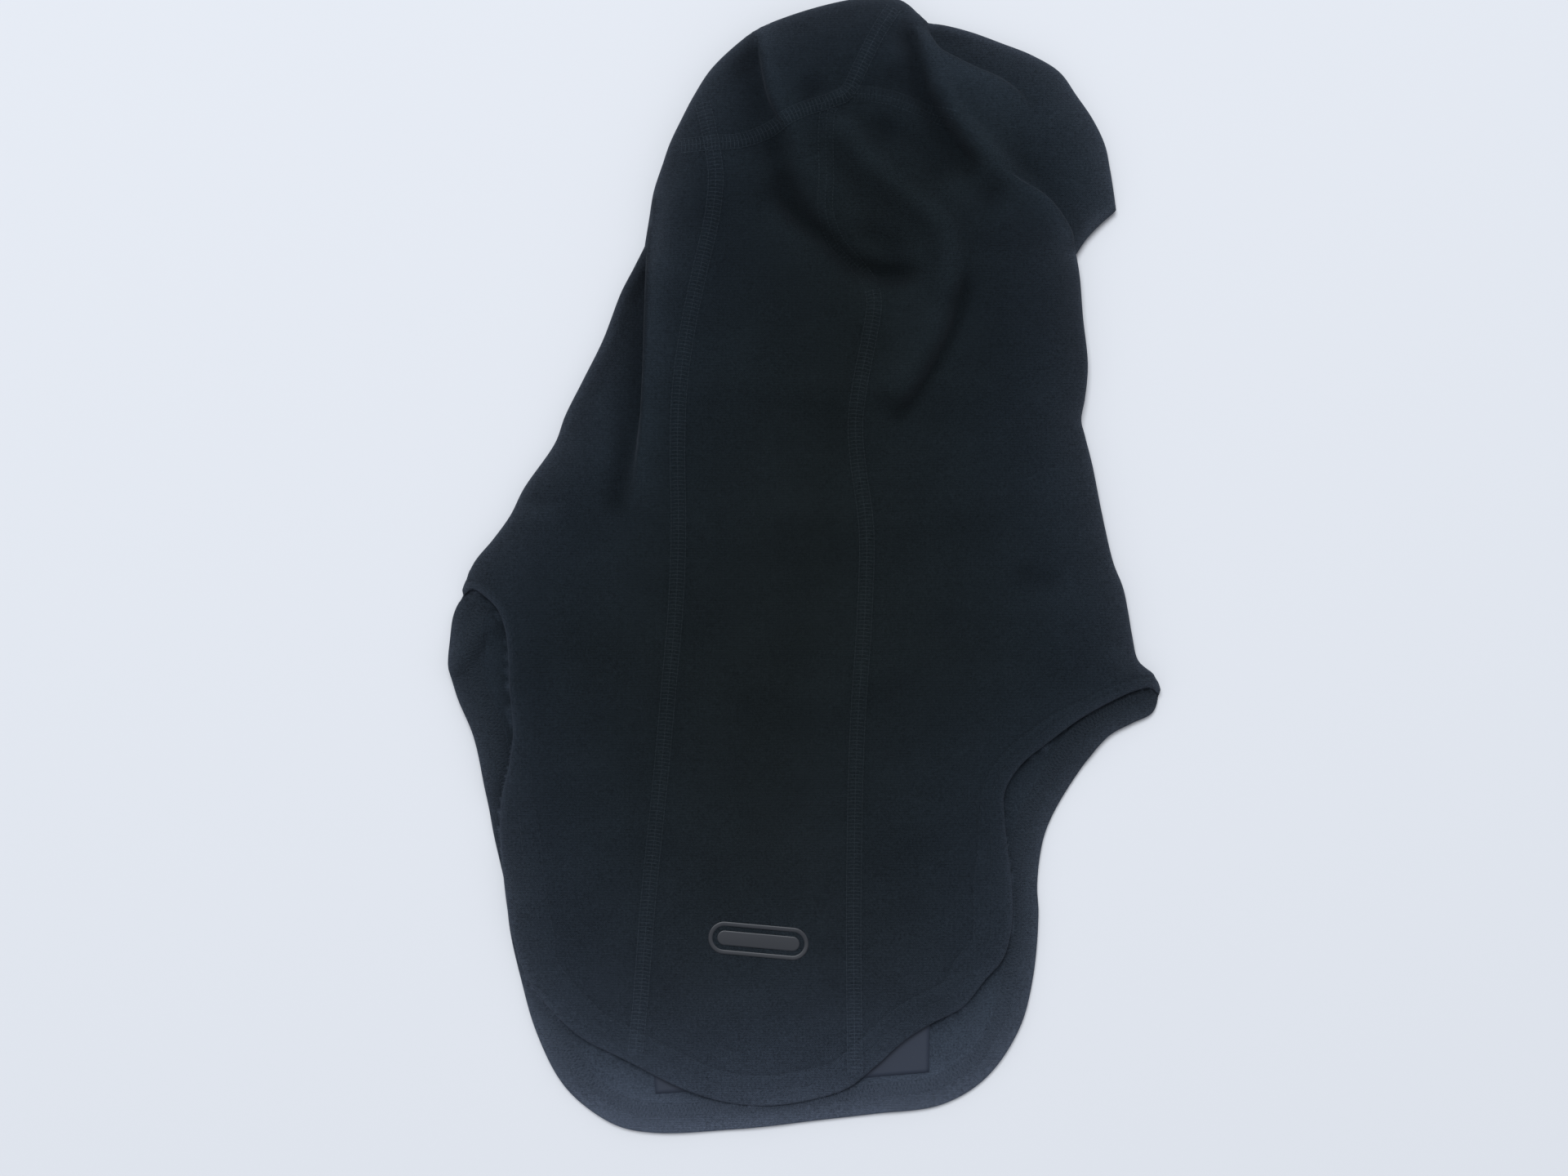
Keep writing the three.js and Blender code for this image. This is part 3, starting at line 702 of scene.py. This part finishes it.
class Relief:
    """How far the back layer stands above the cloth around it, on a grid over the plan."""

    STEP = 2.0
    REACH = 3.5  # how far around, in steps

    def __init__(self, outline):
        self.low = outline.min(0)[:2] - self.STEP
        self.size = np.ceil((outline.max(0)[:2] - self.low) / self.STEP).astype(int) + 2
        x = self.low[0] + self.STEP * np.arange(self.size[0])
        y = self.low[1] + self.STEP * np.arange(self.size[1])
        at = np.stack(np.meshgrid(x, y, indexing="ij"), axis=2).reshape(-1, 2)
        there = inside_of(outline, at)
        height = np.zeros(len(at))
        broad, detail, _ = back_detail(at[there])
        height[there] = broad + detail
        height, share = height.reshape(self.size), there.reshape(self.size).astype(float)
        self.grid = share * (height - self.blurred(height) / np.maximum(self.blurred(share), 1e-6))

    def blurred(self, grid):
        k = np.arange(-10, 11)
        kernel = np.exp(-((k / self.REACH) ** 2) / 2)
        for axis in (0, 1):
            grid = np.apply_along_axis(lambda row: np.convolve(row, kernel, "same"), axis, grid)
        return grid

    def __call__(self, at):
        place = np.clip((at - self.low) / self.STEP, 0, self.size - 1.001)
        i, j = place.astype(int).T
        u, v = (place - place.astype(int)).T
        g = self.grid
        return ((g[i, j] * (1 - u) + g[i + 1, j] * u) * (1 - v)
                + (g[i, j + 1] * (1 - u) + g[i + 1, j + 1] * u) * v)


def cloth_shade(at):
    """The brushed cloth's colour over the plan, with painted light palest at the garment's edges, towards
    the hem and on the ridges, and painted shade in the hollows, over the hood and beside the back hem."""
    edge = Near(silhouette, at).distance[:, None]
    in_from_hem = Near(back_edge, at).signed[:, None]
    on_back = in_from_hem > -0.3
    # painted highlight along the back hem's edge
    painted_lip = np.where(on_back, np.exp(-np.maximum(in_from_hem, 0) / LIP_HIGHLIGHT), 0)
    # painted shade on the front layer beside the back hem and towards the arches
    beside = HEM_SHADE * np.exp(np.minimum(in_from_hem, 0) / 5) + ARCH_SHADE * step_up(at[:, 1:], *ARCHES)
    beside = np.where(on_back, 0, beside)
    # painted light at the edges and towards the hem
    colour = (CLOTH_DARK + RIM_NEAR * np.exp(-edge / 15) + RIM_FAR * np.exp(-edge / 45)
              + RIM_LINE * (np.exp(-edge / 2) + painted_lip)
              + PAINTED_HEM_LIGHT * np.exp(-(at[:, 1:] - HEM_HEIGHT) / 50))
    inside_brow = step_up(Near(brow_line, at).signed, -4, 6)
    brow = np.where(at[:, 1] > FACE_TOP, BROW_PALER * (1 - inside_brow), 0)
    # painted shade over the hood, and painted highlight and shade on the ridges and in the hollows
    painted_hood_shade = HOOD_SHADE * step_up(at[:, 1], *HOOD_SHADE_FROM) * inside_brow
    factor = 1 + (brow - painted_hood_shade) + RIDGE * np.clip(relief(at), *RIDGE_RANGE)
    return colour * factor[:, None] * (1 - beside)


def new_object(name, verts, faces, material, normals=None):
    mesh = bpy.data.meshes.new(name)
    mesh.from_pydata(to_metres(verts).tolist(), [], faces)
    mesh.materials.append(material)
    # the cloth's colour, with its painted light and shade, kept on every vertex
    shade = mesh.attributes.new("shade", "FLOAT_COLOR", "POINT")
    colour = np.column_stack([cloth_shade(verts[:, :2]), np.ones(len(verts))])
    shade.data.foreach_set("color", colour.astype(np.float32).ravel())
    mesh.shade_smooth()
    if normals is not None:
        mesh.normals_split_custom_set(normals)
    obj = bpy.data.objects.new(name, mesh)
    bpy.context.scene.collection.objects.link(obj)
    return obj


def cloth_piece(name, parts, material):
    """A piece of cloth from some of the faces of one layer, or of both."""
    verts, faces, normals, start = [], [], [], 0
    for layer, keep in parts:
        used, flat = np.unique(layer.tris[keep], return_inverse=True)
        tris = flat.reshape(-1, 3)
        count = len(used)
        points = np.vstack([layer.top[used], layer.bottom[used]])
        halves = np.vstack([tris[:, [0, 1]], tris[:, [1, 2]], tris[:, [2, 0]]])
        known = set(map(tuple, halves.tolist()))
        rim = [(b, a, a + count, b + count) for a, b in halves.tolist() if (b, a) not in known]
        p = points[np.array(rim)]
        rim_normal = np.cross(p[:, 2] - p[:, 0], p[:, 3] - p[:, 1])
        rim_normal /= np.maximum(np.linalg.norm(rim_normal, axis=1), 1e-9)[:, None]
        normals += [layer.top_normal[used][tris].reshape(-1, 3),
                    layer.bottom_normal[used][tris[:, ::-1]].reshape(-1, 3),
                    np.repeat(rim_normal, 4, axis=0)]
        for f in tris.tolist() + (tris[:, ::-1] + count).tolist() + rim:
            faces.append(tuple(i + start for i in f))
        verts.append(points)
        start += len(points)
    return new_object(name, np.vstack(verts), faces, material, np.vstack(normals))


def band(r, q, count):
    """The faces between two loops of vertices."""
    return [(r * count + k, r * count + (k + 1) % count, q * count + (k + 1) % count, q * count + k)
            for k in range(count)]


def tubes(paths, ups, radius, sides=6):
    """Closed tubes along paths of equal length: arrays of (tube, place, xyz)."""
    count, places, _ = paths.shape
    run = np.gradient(paths, axis=1)
    run /= np.linalg.norm(run, axis=2)[:, :, None]
    side = np.cross(run, ups)
    side /= np.linalg.norm(side, axis=2)[:, :, None]
    up = np.cross(side, run)
    turn = np.linspace(0, 2 * math.pi, sides, endpoint=False)
    ring = (side[:, :, None, :] * np.cos(turn)[None, None, :, None]
            + up[:, :, None, :] * np.sin(turn)[None, None, :, None])
    verts = (paths[:, :, None, :] + radius * ring).reshape(-1, 3)
    one = [f for p in range(places - 1) for f in band(p, p + 1, sides)]
    one.append(tuple(reversed(range(sides))))
    one.append(tuple((places - 1) * sides + k for k in range(sides)))
    return verts, [tuple(t * places * sides + i for i in f) for t in range(count) for f in one]


def gather(parts):
    verts, faces, start = [], [], 0
    for v, f in parts:
        verts.append(v)
        faces += [tuple(i + start for i in face) for face in f]
        start += len(v)
    return np.vstack(verts), faces


class Face:
    """One face of a layer, to lay things on: called with plan points, it gives the places and normals."""

    FAR = 60  # height to look from, beyond all of the cloth
    INSIDE = 3  # height between the layers, from which the nearest place is found at an edge

    def __init__(self, layer, top):
        self.verts = layer.top if top else layer.bottom
        self.normals = layer.top_normal if top else layer.bottom_normal
        self.tris = layer.tris
        self.tree = BVHTree.FromPolygons(self.verts.tolist(), self.tris.tolist())
        self.up = 1 if top else -1

    def __call__(self, at):
        places = np.zeros((len(at), 3))
        normals = np.zeros((len(at), 3))
        look = Vector((0, 0, -self.up))
        for i, (x, y) in enumerate(at.tolist()):
            hit, _, face, _ = self.tree.ray_cast(Vector((x, y, self.FAR * self.up)), look)
            if hit is None:
                hit, _, face, _ = self.tree.find_nearest(Vector((x, y, self.INSIDE)))
            places[i] = hit
            normals[i] = self.normals[self.tris[face]].sum(0)
        return places, normals / np.linalg.norm(normals, axis=1)[:, None]


# ---- materials
SHEEN = 0.06
FLUFF_TINT = (0.75, 0.85, 1.0)
WALE = 0.00085  # width of a column of stitches, in metres
MOTTLE = 0.45  # how far the brushed pile's colour varies, in broad patches and in fine ones


def node(tree, kind, **settings):
    made = tree.nodes.new(kind)
    for key, value in settings.items():
        setattr(made, key, value)
    return made


def principled(name, roughness, sheen, sheen_roughness, specular, tint):
    material = bpy.data.materials.new(name)
    material.use_nodes = True
    tree = material.node_tree
    shader = tree.nodes["Principled BSDF"]
    for key, value in (("Roughness", roughness), ("Specular IOR Level", specular), ("Sheen Weight", sheen),
                       ("Sheen Roughness", sheen_roughness), ("Sheen Tint", (*tint, 1))):
        shader.inputs[key].default_value = value
    return material, tree, shader


def math_node(tree, operation, a, b=None):
    made = node(tree, "ShaderNodeMath", operation=operation)
    for k, value in enumerate((a, b)):
        if isinstance(value, (int, float)):
            made.inputs[k].default_value = value
        elif value is not None:
            tree.links.new(value, made.inputs[k])
    return made.outputs[0]


def cloth_colour(tree, factor):
    """The cloth's colour at a place, with its painted light and shade, times a factor from a socket."""
    shade = node(tree, "ShaderNodeAttribute", attribute_name="shade")
    scaled = node(tree, "ShaderNodeVectorMath", operation="SCALE")
    tree.links.new(shade.outputs["Color"], scaled.inputs[0])
    tree.links.new(factor, scaled.inputs["Scale"])
    return scaled.outputs[0]


def noise(tree, scale, detail, roughness=0.5):
    """Noise over the cloth, in its own coordinates."""
    made = node(tree, "ShaderNodeTexNoise")
    for key, value in (("Scale", scale), ("Detail", detail), ("Roughness", roughness)):
        made.inputs[key].default_value = value
    place = node(tree, "ShaderNodeTexCoord")
    tree.links.new(place.outputs["Object"], made.inputs["Vector"])
    return made


def bumped(tree, shader, height, strength, depth):
    bump = node(tree, "ShaderNodeBump")
    bump.inputs["Strength"].default_value = strength
    bump.inputs["Distance"].default_value = depth
    tree.links.new(height, bump.inputs["Height"])
    tree.links.new(bump.outputs[0], shader.inputs["Normal"])


def knit(name, tone, course=0.00065, depth=0.00022):
    """Jersey knit: columns of V-shaped stitches, brushed so that they are half hidden in fluff."""
    material, tree, shader = principled(name, 0.95, SHEEN, 0.45, 0.05, FLUFF_TINT)

    def work(operation, a, b=None):
        return math_node(tree, operation, a, b)

    link = tree.links.new
    place = node(tree, "ShaderNodeTexCoord")
    spread = node(tree, "ShaderNodeVectorMath", operation="SCALE")
    link(noise(tree, 240.0, 2.0).outputs["Color"], spread.inputs[0])
    spread.inputs["Scale"].default_value = 0.0006
    moved = node(tree, "ShaderNodeVectorMath", operation="ADD")
    link(place.outputs["Object"], moved.inputs[0])
    link(spread.outputs[0], moved.inputs[1])
    split = node(tree, "ShaderNodeSeparateXYZ")
    link(moved.outputs[0], split.inputs[0])
    column = work("FRACT", work("MULTIPLY", split.outputs["X"], 1 / WALE))
    arm = work("ABSOLUTE", work("SUBTRACT", column, 0.5))
    along = work("MULTIPLY", split.outputs["Y"], 1 / course)
    vee = work("ADD", along, work("MULTIPLY", arm, 1.4))
    yarn = work("ABSOLUTE", work("SUBTRACT", work("FRACT", vee), 0.5))
    valley = work("SINE", work("MULTIPLY", arm, 2 * math.pi))
    loops = work("MULTIPLY", work("MULTIPLY", yarn, 2.0), work("ADD", valley, 0.35))
    fluff = noise(tree, 1500.0, 3.0, 0.7)
    height = work("ADD", work("MULTIPLY", loops, 0.5), fluff.outputs["Fac"])
    bumped(tree, shader, height, 0.8, depth)
    patches = work("MULTIPLY", noise(tree, 30.0, 6.0, 0.65).outputs["Fac"], MOTTLE)
    mottle = work("MULTIPLY", noise(tree, 800.0, 2.0).outputs["Fac"], MOTTLE)
    texture = work("ADD", work("ADD", patches, mottle), work("MULTIPLY", height, 2.1))
    factor = work("MULTIPLY", work("SUBTRACT", texture, 1.02), tone)
    link(cloth_colour(tree, factor), shader.inputs["Base Color"])
    return material


def thread_material(name, tone):
    material, tree, shader = principled(name, 0.8, SHEEN, 0.4, 0.1, FLUFF_TINT)
    twist = noise(tree, 900.0, 3.0).outputs["Fac"]
    factor = math_node(tree, "MULTIPLY", math_node(tree, "ADD", twist, 0.5), tone)
    tree.links.new(cloth_colour(tree, factor), shader.inputs["Base Color"])
    bumped(tree, shader, twist, 0.6, 0.0001)
    return material


def plain_material(name, colour, *look):
    material, _, shader = principled(name, *look)
    shader.inputs["Base Color"].default_value = (*colour, 1)
    return material


# The front layer's cloth and thread have paler tones than the back's: painted light, lifting them where the
# back layer shades them.
body_knit = knit("black_knit", 1.0)
hem_knit = knit("hem_knit", 1.06)
front_hem_knit = knit("front_hem_knit", 1.36)
inner_knit = knit("inner_knit", 1.64, 0.0005, 0.00026)
thread = thread_material("black_thread", 1.55)
hem_thread = thread_material("hem_thread", 1.15)
front_thread = thread_material("front_thread", 1.6)
film = plain_material("glossy_film", (0.012, 0.014, 0.018), 0.42, 0, 0.3, 0.5, (1, 1, 1))
satin = plain_material("label_satin", (0.030, 0.037, 0.054), 0.6, 0.1, 0.3, 0.25, (0.8, 0.85, 1))
paper = plain_material("paper", (0.80, 0.80, 0.80), 0.9, 0, 0.5, 0.1, (1, 1, 1))


# ---- the layers
fold_rings = [1 - math.cos(a) for a in np.radians([10, 21, 33, 46, 60, 75, 90])]
bead_rings = [0.1, 0.35, 0.8, 1.5]
hem_rings = [2.8, 4.4, 5.8, 6.4, 7.0, 7.6, 8.4, 10, 11.6, 12.3, 13.6, 14.4, 15.4]
seam_rings = [s * d for d in (1.5, half_seam - 0.6, half_seam + 0.5, half_seam + 1.8) for s in (1, -1)]


def rings_for(edge, shown, seams):
    """Rings of vertices that follow the edges, folds and seams, with the gap that each keeps."""
    rings = [(sideways(edge, offset), 0.06) for offset in bead_rings]
    rings += [(hem_line(edge, shown, offset), 0.4) for offset in hem_rings]
    for line in folds:
        radius = float(line[:, 2].mean())
        rings += [(sideways(line, radius * k), 0.1) for k in fold_rings]
        rings.append((sideways(line, radius + 1.6), 0.1))
    return rings + [(sideways(line, offset), 0.5) for line in seams.values() for offset in seam_rings]


def outline_with(edge):
    return np.vstack([edge[:-1, :2], *[f[:-1, :2] for f in folds]])


def back_faces(at):
    return hem_faces(Near(back_edge, at).distance, shown_of_back_hem(at))


def front_faces(at):
    outer, inner = hem_faces(Near(front_edge, at).distance, shown_of_front_hem(at))
    face = Near(face_edge, at).distance
    bound = (CLOTH / 2 + 0.35 * (1 - step_up(face, BINDING - 0.4, BINDING))) * round_over(face, 1.2)
    at_face = face < BINDING + 4
    return np.where(at_face, bound, -inner), np.where(at_face, -bound, -outer)


pleat_rings = [(sideways(line, half * k), 0.3)
               for line, _, half, *_ in pleats for k in np.linspace(-1.2, 1.2, 15)]
face_rings = [(ellipse(offset), 0.1) for offset in (0.1, 0.4, 1, 2, 5)]
back_layer = Layer(outline_with(back_edge),
                   [hem_line(back_edge, shown_of_back_hem, ROW_FAR), *seam_lines.values(), brow_line],
                   rings_for(back_edge, shown_of_back_hem, seam_lines) + pleat_rings, GRID)
back_layer.drape(back_surface, back_faces, 1)
relief = Relief(outline_with(back_edge))
front_layer = Layer(outline_with(front_edge),
                    [shut(sideways(front_edge, ROW_FAR), front_edge), *front_seam_lines.values(), face_edge,
                     ellipse(BINDING)],
                    rings_for(front_edge, shown_of_front_hem, front_seam_lines) + face_rings, GRID * 1.6)
front_layer.drape(front_surface, front_faces, -1)


# ---- pieces
# The back bib lifts about the line between the two arches.
lift = frame["joints"][0]
axis = Vector(lift["axis"]).normalized()
down = Vector((axis.y, -axis.x, 0))
if down.y > 0:
    down = -down


def follow(obj, moving):
    """Ties a piece to the hood, or to the back bib where moving, or, where it would bend from one to the
    other, bakes its place into its mesh and ties it to neither.
    """
    if moving == "blend":
        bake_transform(obj)
    else:
        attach(obj, lift["child"] if moving else lift["parent"])


def declare(obj, area, strip):
    """Works out a panel's width and length as cloth of its own flat size, and does nothing more with them.
    strip is the length of a long narrow one.
    """
    if strip:
        width, length = max(area / strip, 0.0101), strip
    else:
        co = np.array([v.co for v in obj.data.vertices])
        width, length = np.ptp(co[:, 0]), np.ptp(co[:, 1])
        width = width * max(1, area / (width * length * 0.999))


def panel(name, parts, material, replaced, moving=False, strip=0):
    obj = cloth_piece(name, parts, material)
    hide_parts(*replaced)
    follow(obj, moving)
    area = sum(layer.area(keep) for layer, keep in parts) * MM * MM
    declare(obj, area, strip * MM)


def back(x, y):
    return [(back_layer, back_layer.holding((x, y)))]


def front(*points):
    return [(front_layer, front_layer.holding(*points))]


for name, x, y, *replaced in (("back_centre", -20, 0, "back_neck_panel", "back_bib_centre_panel"),
                              ("left_back", -100, -50, "left_side_panel", "back_bib_left_panel"),
                              ("right_back", 80, 0, "right_side_panel", "back_bib_right_panel")):
    panel(name, back(x, y), body_knit, replaced, "blend")
for name, x, y in (("crown_left", -50, 187), ("crown_centre", -15, 210), ("crown_right", 40, 215)):
    panel(name, back(x, y), body_knit, [name + "_panel"])
panel("brow", back(100, 190) + front((60, 180)), body_knit, ["brow_panel"])
for name, x, y in (("left_front", -90, -100), ("front_centre", 0, -60), ("right_front", 95, -20)):
    panel(name, front((x, y)), inner_knit, [name + "_panel"])
panel("back_hem_band", back(0, -225), hem_knit, ["back_hem"], "blend", strip=lengths(back_edge)[-1])
panel("front_hem_band", front((0, -235)), front_hem_knit, ["front_hem"],
      strip=lengths(front_edge)[-1])
panel("face_edge_binding", front(*ellipse(BINDING / 2)[::10]), hem_knit, ["face_binding"],
      strip=lengths(face_edge)[-1])


# ---- stitching
back_outer, back_inner = Face(back_layer, True), Face(back_layer, False)
front_inner, front_outer = Face(front_layer, True), Face(front_layer, False)


def stitches(line, face, places, run, radius, bow):
    """Threads over a face. Each goes by the places (across, along) in millimetres: across is from the
    line, to its left, and along from the stitch's own start; run is the starts' spacing, and bow the
    height of each place above the face."""
    at_length = lengths(line)
    starts = np.arange(run / 2, at_length[-1] - run / 2, run)
    left = left_of(line)
    paths = np.array(places, float)
    along = starts[:, None] + paths[:, 1]
    plan = np.stack([np.interp(along, at_length, line[:, k])
                     + paths[:, 0] * np.interp(along, at_length, left[:, k]) for k in (0, 1)], axis=2)
    base, up = face(plan.reshape(-1, 2))
    rise = np.tile(np.array(bow, float), len(starts))[:, None]
    points = base + up * rise
    shape = (len(starts), len(paths), 3)
    return tubes(points.reshape(shape), up.reshape(shape), radius)


def flatlock(line, face, sink=0.0):
    """Three rows of needle thread joined by rungs of cover thread."""
    rung = [(half_seam * side, along) for side, along in
            ((-1, 0), (-0.66, 0.16), (-0.33, 0.3), (0, 0.36), (0.33, 0.3), (0.66, 0.16), (1, 0))]
    bow = np.array([-0.14, 0.04, 0.03, 0.0, 0.03, 0.04, -0.14]) - sink
    parts = [stitches(line, face, rung, SEAM_RUN, 0.15, bow)]
    bow = np.array([-0.16, 0.08, 0.14, 0.08, -0.16]) - sink
    for offset in (-half_seam + 0.15, 0, half_seam - 0.15):
        dash = [(offset, along) for along in (-0.62, -0.35, 0, 0.35, 0.62)]
        parts.append(stitches(line, face, dash, SEAM_RUN, 0.2, bow))
    return gather(parts)


def hem_rows(edge, shown, plan, face):
    dash = [(0, along) for along in (-1.15, -0.7, 0, 0.7, 1.15)]
    lines = [within(hem_line(edge, shown, row), plan, 1.6) for row in (ROW_NEAR, ROW_FAR)]
    return gather([stitches(line, face, dash, HEM_RUN, 0.22, [-0.26, 0.0, 0.07, 0.0, -0.26])
                   for line in lines])


def looper(edge, plan, face):
    """The back of a coverstitch: threads looping to and fro between the two rows."""
    line = within(sideways(edge, (ROW_NEAR + ROW_FAR) / 2), plan, 5.0)
    w = (ROW_FAR - ROW_NEAR) / 2
    parts = []
    for side in (w, -w):
        loop = [(-side, -0.8), (-side * 0.5, -0.55), (0, 0), (side * 0.5, 0.55), (side, 0.8)]
        parts.append(stitches(line, face, loop, SEAM_RUN, 0.17, [-0.05, 0.08, 0.12, 0.08, -0.05]))
    for side in (-w, w):
        dash = [(side, -0.7), (side, 0), (side, 0.7)]
        parts.append(stitches(line, face, dash, SEAM_RUN, 0.2, [-0.05, 0.08, -0.05]))
    return gather(parts)


def within(line, outline, margin=0.0):
    keep = inside_of(outline, line[:, :2])
    if margin:
        edge = np.vstack([outline, outline[:1]])
        keep &= Near(edge, line[:, :2]).distance > margin
    return evenly(line[keep][:, :2], 1.0)


def cut(line, y0, y1):
    return evenly(line[(line[:, 1] >= y0) & (line[:, 1] <= y1)][:, :2], 1.0)


def sewn(name, made, replaced, moving=False, material=thread):
    obj = new_object(name, *made, material)
    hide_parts(*replaced)
    follow(obj, moving)


back_plan = outline_with(back_edge)
front_plan = outline_with(front_edge)
left_line, right_line, crown_line = (within(line, back_plan, 3) for line in seam_lines.values())
BOTTOM, TOP = -230, 260  # along y, past the ends of the seams
LEFT_MEETS = 178.5  # where along y the left seam meets the crown's
SUNK = (120, 196)  # where along y the right seam sinks into the hollow, up to the crown's
left_low = cut(left_line, BOTTOM, LEFT_MEETS)
left_high = cut(left_line, LEFT_MEETS, TOP)
right_low = cut(right_line, BOTTOM, SUNK[0] - 1)
right_mid = cut(right_line, *SUNK)
right_high = cut(right_line, SUNK[1] + 1, TOP)
crown_left_part = evenly(crown_line[crown_line[:, 0] < 18][:, :2], 1.0)
crown_right_part = evenly(crown_line[(crown_line[:, 0] > 19) & (crown_line[:, 0] < 64)][:, :2], 1.0)
sewn("left_flatlock", gather([flatlock(left_low, back_outer), flatlock(left_low, back_inner)]),
     ["left_back_seam", "left_bib_seam"], "blend")
sewn("right_flatlock", gather([flatlock(right_low, back_outer), flatlock(right_low, back_inner),
                               flatlock(right_mid, back_outer, 0.16), flatlock(right_mid, back_inner)]),
     ["right_back_seam", "right_bib_seam"], "blend")
sewn("crown_left_flatlock", flatlock(left_high, back_outer), ["crown_left_seam"])
sewn("crown_right_flatlock", flatlock(right_high, back_outer), ["crown_right_seam"])
sewn("crown_flatlock", gather([flatlock(crown_left_part, back_outer),
                               flatlock(crown_right_part, back_outer, 0.14)]), ["crown_seam"])
sewn("back_hem_rows", gather([hem_rows(back_edge, shown_of_back_hem, back_plan, back_outer),
                              looper(back_edge, back_plan, back_inner)]),
     ["back_hem_stitching"], "blend", hem_thread)
sewn("front_hem_rows", gather([hem_rows(front_edge, shown_of_front_hem, front_plan, front_outer),
                               looper(front_edge, front_plan, front_inner)]),
     ["front_hem_stitching"], material=front_thread)
for name, replaced, margin in (("left_front", "left_front_seam", 16),
                               ("right_front", "right_front_seam", 16),
                               ("brow_left", "brow_seam_left", 3), ("brow_right", "brow_seam_right", 3)):
    line = within(front_seam_lines[name], front_plan, margin)
    line = evenly(line[Near(ellipse(BINDING), line[:, :2]).signed < 0][:, :2], 1.0)
    sewn(name + "_flatlock", gather([flatlock(line, front_inner), flatlock(line, front_outer)]),
         [replaced])


# ---- label and mark
def patch(plan_of, across, along, face, low, high):
    """A thin closed patch over a face: plan_of maps the unit square to the plan."""
    u, v = np.meshgrid(np.linspace(0, 1, across), np.linspace(0, 1, along), indexing="xy")
    base, up = face(plan_of(u.ravel(), v.ravel()))
    count = across * along
    k = np.arange(count).reshape(along, across)
    top = np.stack([k[:-1, :-1], k[:-1, 1:], k[1:, 1:], k[1:, :-1]], axis=2).reshape(-1, 4)
    ring = np.concatenate([k[0], k[1:, -1], k[-1, -2::-1], k[-2:0:-1, 0]])
    after = np.roll(ring, -1)
    rim = np.column_stack([after, ring, ring + count, after + count])
    faces = np.vstack([top, top[:, ::-1] + count, rim])
    return np.vstack([base + up * high, base + up * low]), faces.tolist()


LABEL = np.array([(-64, -225.6), (53, -216.4), (53.5, -176), (-68, -185)], float)


def label_plan(u, v):
    a, b, c, d = LABEL
    u, v = u[:, None], v[:, None]
    return (a * (1 - u) + b * u) * (1 - v) + (d * (1 - u) + c * u) * v


sewn("inner_label_cloth", patch(label_plan, 60, 24, front_inner, 0.05, 0.35),
     ["inner_label"], material=satin)

MARK_CENTRE = (-20, -159.4)
MARK_SIZE = (43, 14)
MARK_TURN = math.radians(-5)


def pill_rim(inset):
    """The outline of the mark, that far in from its edge."""
    radius = MARK_SIZE[1] / 2 - inset
    straight = (MARK_SIZE[0] - MARK_SIZE[1]) / 2
    turn = np.linspace(0, 2 * math.pi, 72, endpoint=False)
    shift = np.where(np.cos(turn) >= 0, straight, -straight)
    rim = np.column_stack([np.cos(turn) * radius + shift, np.sin(turn) * radius])
    c, s = math.cos(MARK_TURN), math.sin(MARK_TURN)
    return rim @ np.array([[c, s], [-s, c]]) + MARK_CENTRE


FILM_BEVEL = [(0.0, 0.0), (0.2, 0.1), (0.6, 0.12)]  # in from the film's edge, and height over the cloth


def film_loops(loops):
    """The vertices of loops (inset, height) round the mark, and how many each has."""
    verts = []
    for inset, height in loops:
        base, up = back_outer(pill_rim(inset))
        verts.append(base + up * height)
    return np.vstack(verts), len(base)


def film_ring(outer, inner):
    """A closed ring of film between two insets of the mark."""
    loops = [(outer + inset, height) for inset, height in FILM_BEVEL]
    loops += [(inner - inset, height) for inset, height in reversed(FILM_BEVEL)]
    loops += [(inner - 0.2, -0.1), (outer + 0.2, -0.1)]
    verts, count = film_loops(loops)
    return verts, [f for r in range(len(loops)) for f in band(r, (r + 1) % len(loops), count)]


def film_bar(inset):
    """A closed pill of film inside the ring."""
    loops = [(inset + by, height) for by, height in FILM_BEVEL] + [(inset + 0.2, -0.1)]
    verts, count = film_loops(loops)
    caps = [tuple(range(2 * count, 3 * count)), tuple(range(4 * count - 1, 3 * count - 1, -1))]
    return verts, caps + [f for r, q in ((0, 1), (1, 2), (3, 0)) for f in band(r, q, count)]


sewn("badge", gather([film_ring(0, 2.0), film_bar(3.8)]), ["back_mark"], True, film)


# ---- surface, light and camera
bpy.ops.mesh.primitive_plane_add(size=6, location=(0, 0, -0.0002))
floor = bpy.context.object
floor.name = "floor"
floor.data.materials.append(paper)

world = bpy.context.scene.world or bpy.data.worlds.new("world")
bpy.context.scene.world = world
world.use_nodes = True
sky = world.node_tree.nodes["Background"]
sky.inputs["Color"].default_value = (0.85, 0.895, 1.0, 1)
sky.inputs["Strength"].default_value = 0.42

lamp_data = bpy.data.lights.new("overhead", "AREA")
lamp_data.shape = "DISK"
lamp_data.size = 2.4
lamp_data.energy = 146
lamp_data.color = (0.885, 0.931, 1.0)
lamp = bpy.data.objects.new("overhead", lamp_data)
lamp.location = (-0.4, 1.6, 4.0)
lamp.rotation_euler = (-lamp.location).to_track_quat("-Z", "Y").to_euler()
bpy.context.scene.collection.objects.link(lamp)

camera_data = bpy.data.cameras.new("camera")
camera_data.sensor_width = 36
camera_data.lens = 58.9
camera = bpy.data.objects.new("camera", camera_data)
camera.location = (-0.0091, -0.0091, 1.1)
bpy.context.scene.collection.objects.link(camera)
bpy.context.scene.camera = camera
bpy.context.scene.view_settings.view_transform = "Standard"
